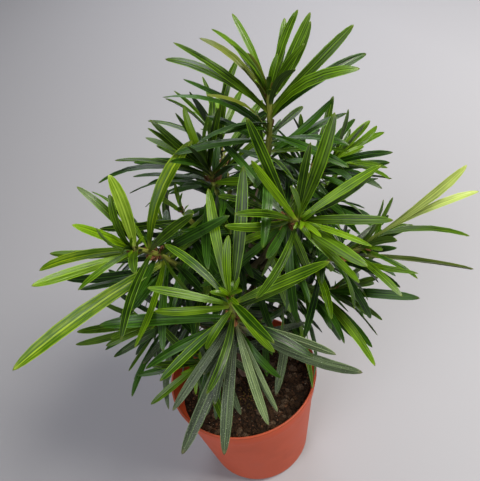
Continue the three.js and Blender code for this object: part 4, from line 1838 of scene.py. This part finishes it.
@dataclass
class Foliage:
    """A mass of foliage: its ridged stem, its leaves and the scales of its bud."""

    mass: Mass
    blades: LeafMesh
    leaf_materials: list[bpy.types.Material]
    leaf_slots: dict[Tint, int]
    stem_material: bpy.types.Material
    stem_sides: int = 14
    stem_rings: int = 60
    ridge: float = 0.3
    ridge_run: float = 0.07
    ridge_spread: float = 0.55
    ridge_reach: tuple[float, float] = (-0.5, 3.0)
    ridge_top: float = 0.2
    ridge_falls: tuple[float, float] = (6.0, 0.5)
    bud_closing: float = 0.03
    bud_point: float = 0.08
    tuft_scatter: float = 20.0

    def tufts(self) -> Iterator[tuple[Leaf, LeafHabit]]:
        """Grows the short young leaves and the brown scales round the bud and at the shoot's foot.

        Yields:
            Each leaf with its habit.
        """
        random = Stream(self.mass.rule.seed + TUFT_SEED)
        for tuft in TUFTS + ((BUD_RING,) if self.mass.rule.ringed else ()):
            for number in range(tuft.count):
                at = tuft.at + random.between(-tuft.reach, tuft.reach)
                scatter = random.between(-self.tuft_scatter, self.tuft_scatter)
                turn = math.radians(number * LEAF.golden_angle + scatter)
                way = self.mass.curve.heading(at, turn, math.radians(random.between(*tuft.spread)))
                length = random.between(*tuft.length)
                root = self.mass.curve.point(at) + way * tuft.standoff
                facing = self.mass.curve.tangent(at) + LIGHT
                leaf = make_leaf(root, way, length, facing, tuft.arch, 0.0, at)
                leaf.half_width = length * tuft.breadth
                leaf.tint = tuft.tint
                yield leaf, LeafHabit.drawn(random, leaf.tint)

    def leaf_piece(self) -> bpy.types.Object:
        """Makes the mass's leaves.

        Returns:
            The piece.
        """
        random = Stream(self.mass.rule.seed + HABIT_SEED)
        grown = self.mass.leaves + self.mass.extra
        leaves = [(leaf, LeafHabit.drawn(random, leaf.tint)) for leaf in grown]
        leaves.extend(self.tufts())
        name = f"leaves_{self.mass.name}"
        mesh = self.blades.join(name, leaves, self.leaf_slots)
        return finish_piece(mesh, name, self.leaf_materials, [f"foliage_{self.mass.name}"])

    def stem_piece(self) -> bpy.types.Object:
        """Makes the mass's stem, with the ridge that runs down from each leaf's root.

        Returns:
            The piece.
        """
        roots = []
        for leaf in self.mass.leaves:
            _, first, second = self.mass.curve.across(leaf.share)
            way = unit(leaf.tip - leaf.root)
            roots.append((leaf.share, math.atan2(float(way @ second), float(way @ first))))

        def radius(share: float, angle: float) -> float:
            """Swells the stem under each leaf's root and closes it round its bud.

            Args:
                share: how far along the stem, from 0 to 1.
                angle: round the stem, in radians.

            Returns:
                The stem's radius.
            """
            swell = 0.0
            for at, turn in roots:
                below = (at - share) / self.ridge_run
                if self.ridge_reach[0] < below < self.ridge_reach[1]:
                    steepness = self.ridge_falls[below > self.ridge_top]
                    fall = math.exp(-((below - self.ridge_top) ** 2) * steepness)
                    swell = max(swell, fall * math.exp(-((apart(angle, turn) / self.ridge_spread) ** 2)))
            past = max(0.0, (share - (1 - self.bud_closing)) / self.bud_closing)
            closing = max(self.bud_point, math.sqrt(max(0.0, 1 - past**2)))
            return (STEM.radius(share) + self.ridge * swell) * closing

        name = f"stem_{self.mass.name}"
        mesh = mesh_of(tube(self.mass.curve, radius, self.stem_sides, self.stem_rings), name)
        return finish_piece(mesh, name, [self.stem_material], [f"foliage_{self.mass.name}"])


@dataclass
class Limbs:
    """The trunk and the boughs, with the relief of their bark."""

    bark: bpy.types.Material
    young_bark: bpy.types.Material
    trunk_sides: int = 32
    trunk_rings: int = 220
    bough_sides: int = 20
    bough_rings: int = 70
    crack_depth: float = 0.16
    bough_cracks: float = 0.7
    crack_run: float = 7.0
    cracks_per_mm: float = 0.9
    scar_height: float = 0.3
    scar_length: float = 0.9
    scar_width: float = 1.5
    scar_reach: float = 3.0
    scar_count: int = 26
    scar_from: float = 0.08
    scar_span: float = 0.87
    scar_scatter: float = 0.01
    scar_seed: int = 41
    collar: float = 0.35
    collar_run: float = 2.5

    def _relief(self, share: float, angle: float, length: float, radius: float, depth: float) -> float:
        """Height of the bark's cracks and ridges over the limb's round form."""
        place = Vector((math.cos(angle) * radius, math.sin(angle) * radius, share * length / self.crack_run))
        return depth * noise.fractal(place * self.cracks_per_mm, 0.9, 2.0, 3)

    def trunk_piece(self) -> bpy.types.Object:
        """Makes the trunk with its scars.

        Returns:
            The piece.
        """
        curve = trunk_curve()
        length = curve.length()
        random = Stream(self.scar_seed)
        scars = []
        for number in range(self.scar_count):
            scatter = random.between(-self.scar_scatter, self.scar_scatter)
            at = self.scar_from + self.scar_span * number / self.scar_count + scatter
            scars.append((at, math.radians(number * LEAF.golden_angle) % math.tau))

        def radius(share: float, angle: float) -> float:
            """Adds the cracks and the scars of fallen leaves to the trunk.

            Args:
                share: how far along the trunk, from 0 to 1.
                angle: round the trunk, in radians.

            Returns:
                The trunk's radius.
            """
            base = TRUNK.radius(share)
            reach = base + self._relief(share, angle, length, base, self.crack_depth)
            for at, turn in scars:
                along = (share - at) * length
                if abs(along) < self.scar_reach:
                    around = apart(angle, turn) * base
                    fall = (along / self.scar_length) ** 2 + (around / self.scar_width) ** 2
                    reach += self.scar_height * math.exp(-fall)
            return reach

        mesh = mesh_of(tube(curve, radius, self.trunk_sides, self.trunk_rings), "trunk_bark")
        return finish_piece(mesh, "trunk_bark", [self.bark], ["trunk"])

    def bough_piece(self, name: str, bough: BoughSize) -> bpy.types.Object:
        """Makes one bough, with a collar where it leaves the trunk.

        Args:
            name: the bough's name.
            bough: its sizes.

        Returns:
            The piece.
        """
        curve = bough_curve(bough)
        length = curve.length()
        trunk_reach = TRUNK.radius(bough.at)

        def radius(share: float, angle: float) -> float:
            """Adds the cracks and the collar to the bough.

            Args:
                share: how far along the bough, from 0 to 1.
                angle: round the bough, in radians.

            Returns:
                The bough's radius.
            """
            base = bough.radius_at(share)
            past_trunk = max(0.0, share * length - trunk_reach)
            swell = self.collar * math.exp(-past_trunk / self.collar_run)
            cracks = self._relief(share, angle, length, base, self.crack_depth * self.bough_cracks)
            return base * (1 + swell) + cracks

        piece = f"bough_{name}_bark"
        mesh = mesh_of(tube(curve, radius, self.bough_sides, self.bough_rings), piece)
        return finish_piece(mesh, piece, [self.young_bark], [f"bough_{name}"])


@dataclass
class Pot:
    """The nursery pot: a turned wall with a collar and a foot, and drain holes in its floor."""

    size: PotSize
    finish: PotFinish
    turns: int = 144
    round_edge: float = 0.35
    chamfer: float = 1.0
    lip: float = 0.5
    channel_past: float = 6.0
    least_turn: float = 8.0
    crease: float = 32.0

    def _profile(self) -> list[tuple[float, float]]:
        """Lays out the wall from the middle of the underside over its top to the middle of the floor.

        Returns:
            Radius and height of each corner.
        """
        size = self.size
        under_collar = size.height - size.collar_height
        collar_foot = size.radius(under_collar)
        foot_top = size.radius(size.foot_height)
        return [
            (0, 0),
            (size.base_radius - size.foot_step - self.chamfer, 0),
            (size.base_radius - size.foot_step, self.chamfer),
            (foot_top - size.foot_step, size.foot_height - self.chamfer),
            (foot_top, size.foot_height),
            (collar_foot - size.collar_step, under_collar),
            (collar_foot, under_collar + self.chamfer),
            (size.rim_radius, size.height - self.lip),
            (size.rim_radius - self.lip, size.height),
            (size.rim_radius - size.wall, size.height),
            (collar_foot - size.collar_step - size.wall, under_collar),
            (size.base_radius - size.wall, size.floor),
            (0, size.floor),
        ]

    def _wall(self) -> bmesh.types.BMesh:
        """Turns the wall and the floor, with the corners rounded.

        Returns:
            The turned shape.
        """
        shape = lathe(self._profile(), self.turns, MM)
        bmesh.ops.recalc_face_normals(shape, faces=shape.faces)
        hoops = [edge for edge in shape.edges if self._is_corner(edge)]
        rounding = {"offset_type": "OFFSET", "segments": 2, "profile": 0.5, "affect": "EDGES", "material": -1}
        bmesh.ops.bevel(shape, geom=hoops, offset=self.round_edge * MM, **rounding)
        return shape

    def _is_corner(self, edge: bmesh.types.BMEdge) -> bool:
        """Tells whether an edge runs round the pot where its wall turns.

        Args:
            edge: the edge.

        Returns:
            True where it does.
        """
        level = abs(edge.verts[0].co.z - edge.verts[1].co.z) < 0.001 * MM
        radii = [vertex.co.xy.length for vertex in edge.verts]
        around = abs(radii[0] - radii[1]) < 0.01 * MM and min(radii) > 1 * MM
        return level and around and edge.calc_face_angle(0.0) > math.radians(self.least_turn)

    def _drains(self) -> bmesh.types.BMesh:
        """Makes the drain holes and the channels that run out from them.

        Returns:
            One shape to cut with.
        """
        size = self.size
        cutter = bmesh.new()
        run = size.base_radius - size.drain_circle + self.channel_past
        radius = size.drain_radius * MM
        hole = {"radius1": radius, "radius2": radius, "depth": 4 * size.floor * MM}
        for number in range(size.drain_holes):
            turn = Matrix.Rotation(number * math.tau / size.drain_holes, 4, "Z")
            place = turn @ Matrix.Translation((size.drain_circle * MM, 0, 0))
            bmesh.ops.create_cone(cutter, cap_ends=True, segments=32, matrix=place, **hole)
            stretch = Matrix.Diagonal((run * MM, size.channel_width * MM, 2 * size.channel_depth * MM, 1))
            place = turn @ Matrix.Translation(((size.drain_circle + run / 2) * MM, 0, 0)) @ stretch
            bmesh.ops.create_cube(cutter, size=1.0, matrix=place)
        return cutter

    def build(self) -> bpy.types.Object:
        """Makes the pot.

        Returns:
            The piece.
        """
        wall = add_object("pot_wall", mesh_of(self._wall(), "pot_wall"))
        cutter = add_object("drains", mesh_of(self._drains(), "drains"))
        cut = wall.modifiers.new("drains", "BOOLEAN")
        cut.operation = "DIFFERENCE"
        cut.solver = "EXACT"
        cut.use_self = True
        cut.object = cutter
        graph = bpy.context.evaluated_depsgraph_get()
        mesh = bpy.data.meshes.new_from_object(wall.evaluated_get(graph))
        mesh.name = "nursery_pot"
        for part in (wall, cutter):
            bpy.data.objects.remove(part)
        mesh.set_sharp_from_angle(angle=math.radians(self.crease))
        mesh.materials.clear()
        return finish_piece(mesh, "nursery_pot", [self.finish.build()], ["pot"])


@dataclass(frozen=True)
class Crumb:
    """A kind of crumb: its finish and the least and greatest radius."""

    finish: EarthFinish
    radii: tuple[float, float]


class Earth(Enum):
    """What a crumb of the soil is, in the order of the crumbs' material slots."""

    PEAT = Crumb(EarthFinish("peat_crumb", "0a0502", "402c1a", 0.9), (0.4, 1.3))
    BARK = Crumb(EarthFinish("bark_bit", "301a0e", "6e4c34", 0.7), (0.35, 1.0))
    MINERAL = Crumb(EarthFinish("mineral_grain", "6d6052", "a89a86", 0.6), (0.2, 0.55))
    MOSS = Crumb(EarthFinish("dry_moss", "2e230a", "6e5c24", 0.6), (0.25, 0.65))
    DRY_CLOD = Crumb(EarthFinish("dry_peat_clod", "20160e", "5e4c3a", 0.8), (1.2, 2.6))


@dataclass
class Soil:
    """The soil: a body that fills the pot, and the crumbs, clods, grains and moss on its top."""

    pot: PotSize
    size: SoilSize
    rings: int = 46
    turns: int = 96
    heap: float = 1.3
    lumps_per_mm: float = 0.2
    settled: float = 0.3
    top_depth: float = 0.5
    crumb_count: int = 2800
    clod_count: int = 230
    seed: int = 12
    moss_middle: tuple[float, float] = (3.0, -8.0)
    moss_radius: float = 11.0
    moss_core: float = 0.6
    moss_fringe: float = 0.5
    moss_cover: float = 0.8
    peat_share: float = 0.76
    bark_share: float = 0.2
    dry_clods: float = 0.35
    crumb_edge: float = 0.8
    clod_edge: float = 1.6
    stretch: tuple[float, float] = (0.6, 1.3)
    roughness: tuple[float, float] = (0.72, 1.2)
    flatness: float = 0.7
    tilt: float = 0.5
    seated: float = 0.3

    def edge_radius(self) -> float:
        """Radius of the soil's top at the pot's wall."""
        wall = self.pot.radius(self.size.level)
        return wall - self.pot.collar_step - self.pot.wall - CLEARANCE

    def height(self, x: float, y: float) -> float:
        """Shapes the soil's uneven top.

        Args:
            x: the place to the right, in millimetres.
            y: the place to the back, in millimetres.

        Returns:
            The top's height at that place.
        """
        reach = math.hypot(x, y)
        edge = self.edge_radius()
        fall = smooth((reach - self.size.crown_radius) / (edge - self.size.crown_radius))
        lumps = noise.fractal(Vector((x, y, 3.0)) * self.lumps_per_mm, 0.7, 2.0, 4)
        return self.size.level - self.size.rim_drop * fall + self.heap * lumps - self.settled

    def body_piece(self) -> bpy.types.Object:
        """Makes the soil's body with its uneven top.

        Returns:
            The piece.
        """
        edge = self.edge_radius()
        low = self.pot.floor + CLEARANCE
        low_radius = self.pot.base_radius - self.pot.wall - 2 * CLEARANCE
        profile = [(edge * k / self.rings, self.size.level) for k in range(self.rings + 1)]
        shape = lathe([*profile, (low_radius, low), (0, low)], self.turns, 1)
        for vertex in shape.verts:
            if vertex.co.z > self.size.level - self.top_depth:
                vertex.co.z = self.height(vertex.co.x, vertex.co.y)
        bmesh.ops.scale(shape, vec=(MM, MM, MM), verts=shape.verts)
        bmesh.ops.recalc_face_normals(shape, faces=shape.faces)
        mesh = mesh_of(shape, "soil_body")
        peat = EarthFinish("moist_peat", "0e0804", "2c1e12", 1.6).build()
        return finish_piece(mesh, "soil_body", [peat], ["soil"])

    def crumb_piece(self) -> bpy.types.Object:
        """Makes the loose crumbs, bark bits, grains, moss and clods on the soil.

        Returns:
            The piece.
        """
        small, large = self._ball(1), self._ball(2)
        random = Stream(self.seed)
        edge = self.edge_radius() - self.crumb_edge
        points: list[Array] = []
        faces: list[list[int]] = []
        kinds: list[int] = []
        first = 0
        for number in range(self.crumb_count + self.clod_count):
            is_clod = number >= self.crumb_count
            corners, sides = large if is_clod else small
            reach = (edge - self.clod_edge if is_clod else edge) * math.sqrt(random())
            turn = math.tau * random()
            x, y = reach * math.cos(turn), reach * math.sin(turn)
            kind = self._kind(random, x, y)
            radius = random.between(*kind.value.radii)
            if is_clod:
                kind = Earth.DRY_CLOD if random() < self.dry_clods else Earth.PEAT
                radius = random.between(*Earth.DRY_CLOD.value.radii)
            sizes = [radius * random.between(*self.stretch) for _ in range(3)]
            sizes[2] *= self.flatness
            spin = Matrix.Rotation(math.tau * random(), 3, "Z")
            spin = spin @ Matrix.Rotation(random.between(-self.tilt, self.tilt), 3, "X")
            rough = np.array([random.between(*self.roughness) for _ in range(len(corners))])[:, None]
            shape = (corners * rough * sizes) @ np.array(spin).T
            points.append(shape + np.array([x, y, self.height(x, y) + self.seated * sizes[2]]))
            faces.extend((sides + first).tolist())
            kinds.extend([list(Earth).index(kind)] * len(sides))
            first += len(corners)
        mesh = joined_mesh("soil_crumbs", points, faces, np.array(kinds))
        materials = [earth.value.finish.build() for earth in Earth]
        return finish_piece(mesh, "soil_crumbs", materials, ["soil"])

    def _ball(self, cuts: int) -> tuple[Array, Array]:
        """Makes a ball of unit radius.

        Args:
            cuts: how finely it is divided.

        Returns:
            Its corners and its faces.
        """
        ball = bmesh.new()
        bmesh.ops.create_icosphere(ball, subdivisions=cuts, radius=1.0)
        ball.verts.index_update()
        corners = np.array([vertex.co for vertex in ball.verts])
        sides = np.array([[vertex.index for vertex in face.verts] for face in ball.faces])
        ball.free()
        return corners, sides

    def _kind(self, random: Stream, x: float, y: float) -> Earth:
        """Draws what a crumb is.

        Args:
            random: the stream of draws.
            x: its place to the right, in millimetres.
            y: its place to the back, in millimetres.

        Returns:
            Its kind.
        """
        from_moss = math.hypot(x - self.moss_middle[0], y - self.moss_middle[1])
        draw = random()
        moss_edge = self.moss_radius * (self.moss_core + self.moss_fringe * random())
        if from_moss < moss_edge and draw < self.moss_cover:
            return Earth.MOSS
        if draw < self.peat_share:
            return Earth.PEAT
        return Earth.BARK if draw < self.peat_share + self.bark_share else Earth.MINERAL


# ------------------------------------------------------------------ camera, light and floor


@dataclass(frozen=True)
class Studio:
    """A pale floor, soft lamps and the camera, which looks down on the plant from its front."""

    eye: Triple = (0, -224.8, 377.4)
    forward: Triple = (0.052, 0.750, -0.659)
    up: Triple = (0.258, 0.627, 0.735)
    lens: float = 44.91
    sensor: float = 36.0
    target: Triple = (0, 0, 0.15)
    floor_half: float = 3.0

    def camera(self) -> None:
        """Adds the camera and makes it the scene's."""
        data = bpy.data.cameras.new("camera")
        data.lens = self.lens
        data.sensor_width = self.sensor
        data.clip_start = 0.01
        back = -Vector(self.forward).normalized()
        right = Vector(self.up).cross(back).normalized()
        up = back.cross(right)
        turn = Matrix((right, up, back)).transposed().to_4x4()
        camera = add_object("camera", data)
        camera.matrix_world = Matrix.Translation(Vector(self.eye) * MM) @ turn
        bpy.context.scene.camera = camera

    def lamp(self, name: str, place: Triple, size: float, power: float, colour: str) -> None:
        """Adds a soft square lamp that looks at the plant.

        Args:
            name: the lamp's name.
            place: where it stands, in metres.
            size: its side in metres.
            power: in watts.
            colour: sRGB hex.
        """
        data = bpy.data.lights.new(name, "AREA")
        data.size = size
        data.energy = power
        data.color = linear(colour)[:3]
        look = Vector(self.target) - Vector(place)
        turn = look.to_track_quat("-Z", "Y").to_matrix().to_4x4()
        add_object(name, data).matrix_world = Matrix.Translation(place) @ turn

    def lights(self) -> None:
        """Adds the lamps and the pale surroundings."""
        self.lamp("key", (0.7, -0.35, 1.25), 0.5, 25, "fffaf0")
        self.lamp("fill", (-0.7, -0.8, 1.1), 0.7, 11.5, "fbfaff")
        self.lamp("back", (0.2, 1.1, 1.1), 0.7, 8, "f8f9ff")
        world = bpy.data.worlds.new("pale_room")
        world.use_nodes = True
        surroundings = world.node_tree.nodes["Background"]
        surroundings.inputs["Color"].default_value = linear("dfe0e6")
        surroundings.inputs["Strength"].default_value = 0.15
        bpy.context.scene.world = world

    def floor(self) -> None:
        """Adds the floor."""
        shape = bmesh.new()
        bmesh.ops.create_grid(shape, x_segments=1, y_segments=1, size=self.floor_half)
        floor = add_object("floor", mesh_of(shape, "floor"))
        floor.data.materials.append(FloorFinish().build())
        floor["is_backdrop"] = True

    def build(self) -> None:
        """Sets up the whole studio."""
        self.camera()
        self.lights()
        self.floor()
        bpy.context.scene.view_settings.view_transform = "Standard"


def main() -> None:
    """Builds the plant round its frame."""
    logging.basicConfig(level=logging.INFO, format="%(message)s")
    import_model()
    solid_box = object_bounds()
    Studio().build()
    Pot(POT, PotFinish()).build()
    soil = Soil(POT, SOIL)
    soil.body_piece()
    soil.crumb_piece()
    limbs = Limbs(TRUNK_BARK.build(), BOUGH_BARK.build())
    shoot = GREEN_SHOOT.build()
    limbs.trunk_piece()
    for name, bough in BOUGHS.items():
        limbs.bough_piece(name, bough)
    masses = grow_masses()
    leaf_materials = [material for finish in LEAF_FINISHES for material in finish.build()]
    leaf_slots = {finish.tint: LeafMesh.KINDS * number for number, finish in enumerate(LEAF_FINISHES)}
    blades = LeafMesh()
    for mass in masses:
        foliage = Foliage(mass, blades, leaf_materials, leaf_slots, shoot)
        foliage.leaf_piece()
        foliage.stem_piece()
    boxes = {"solids": solid_box, "visual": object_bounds()}
    {name: [list(corner) for corner in box] for name, box in boxes.items()}


if __name__ == "__main__":
    main()
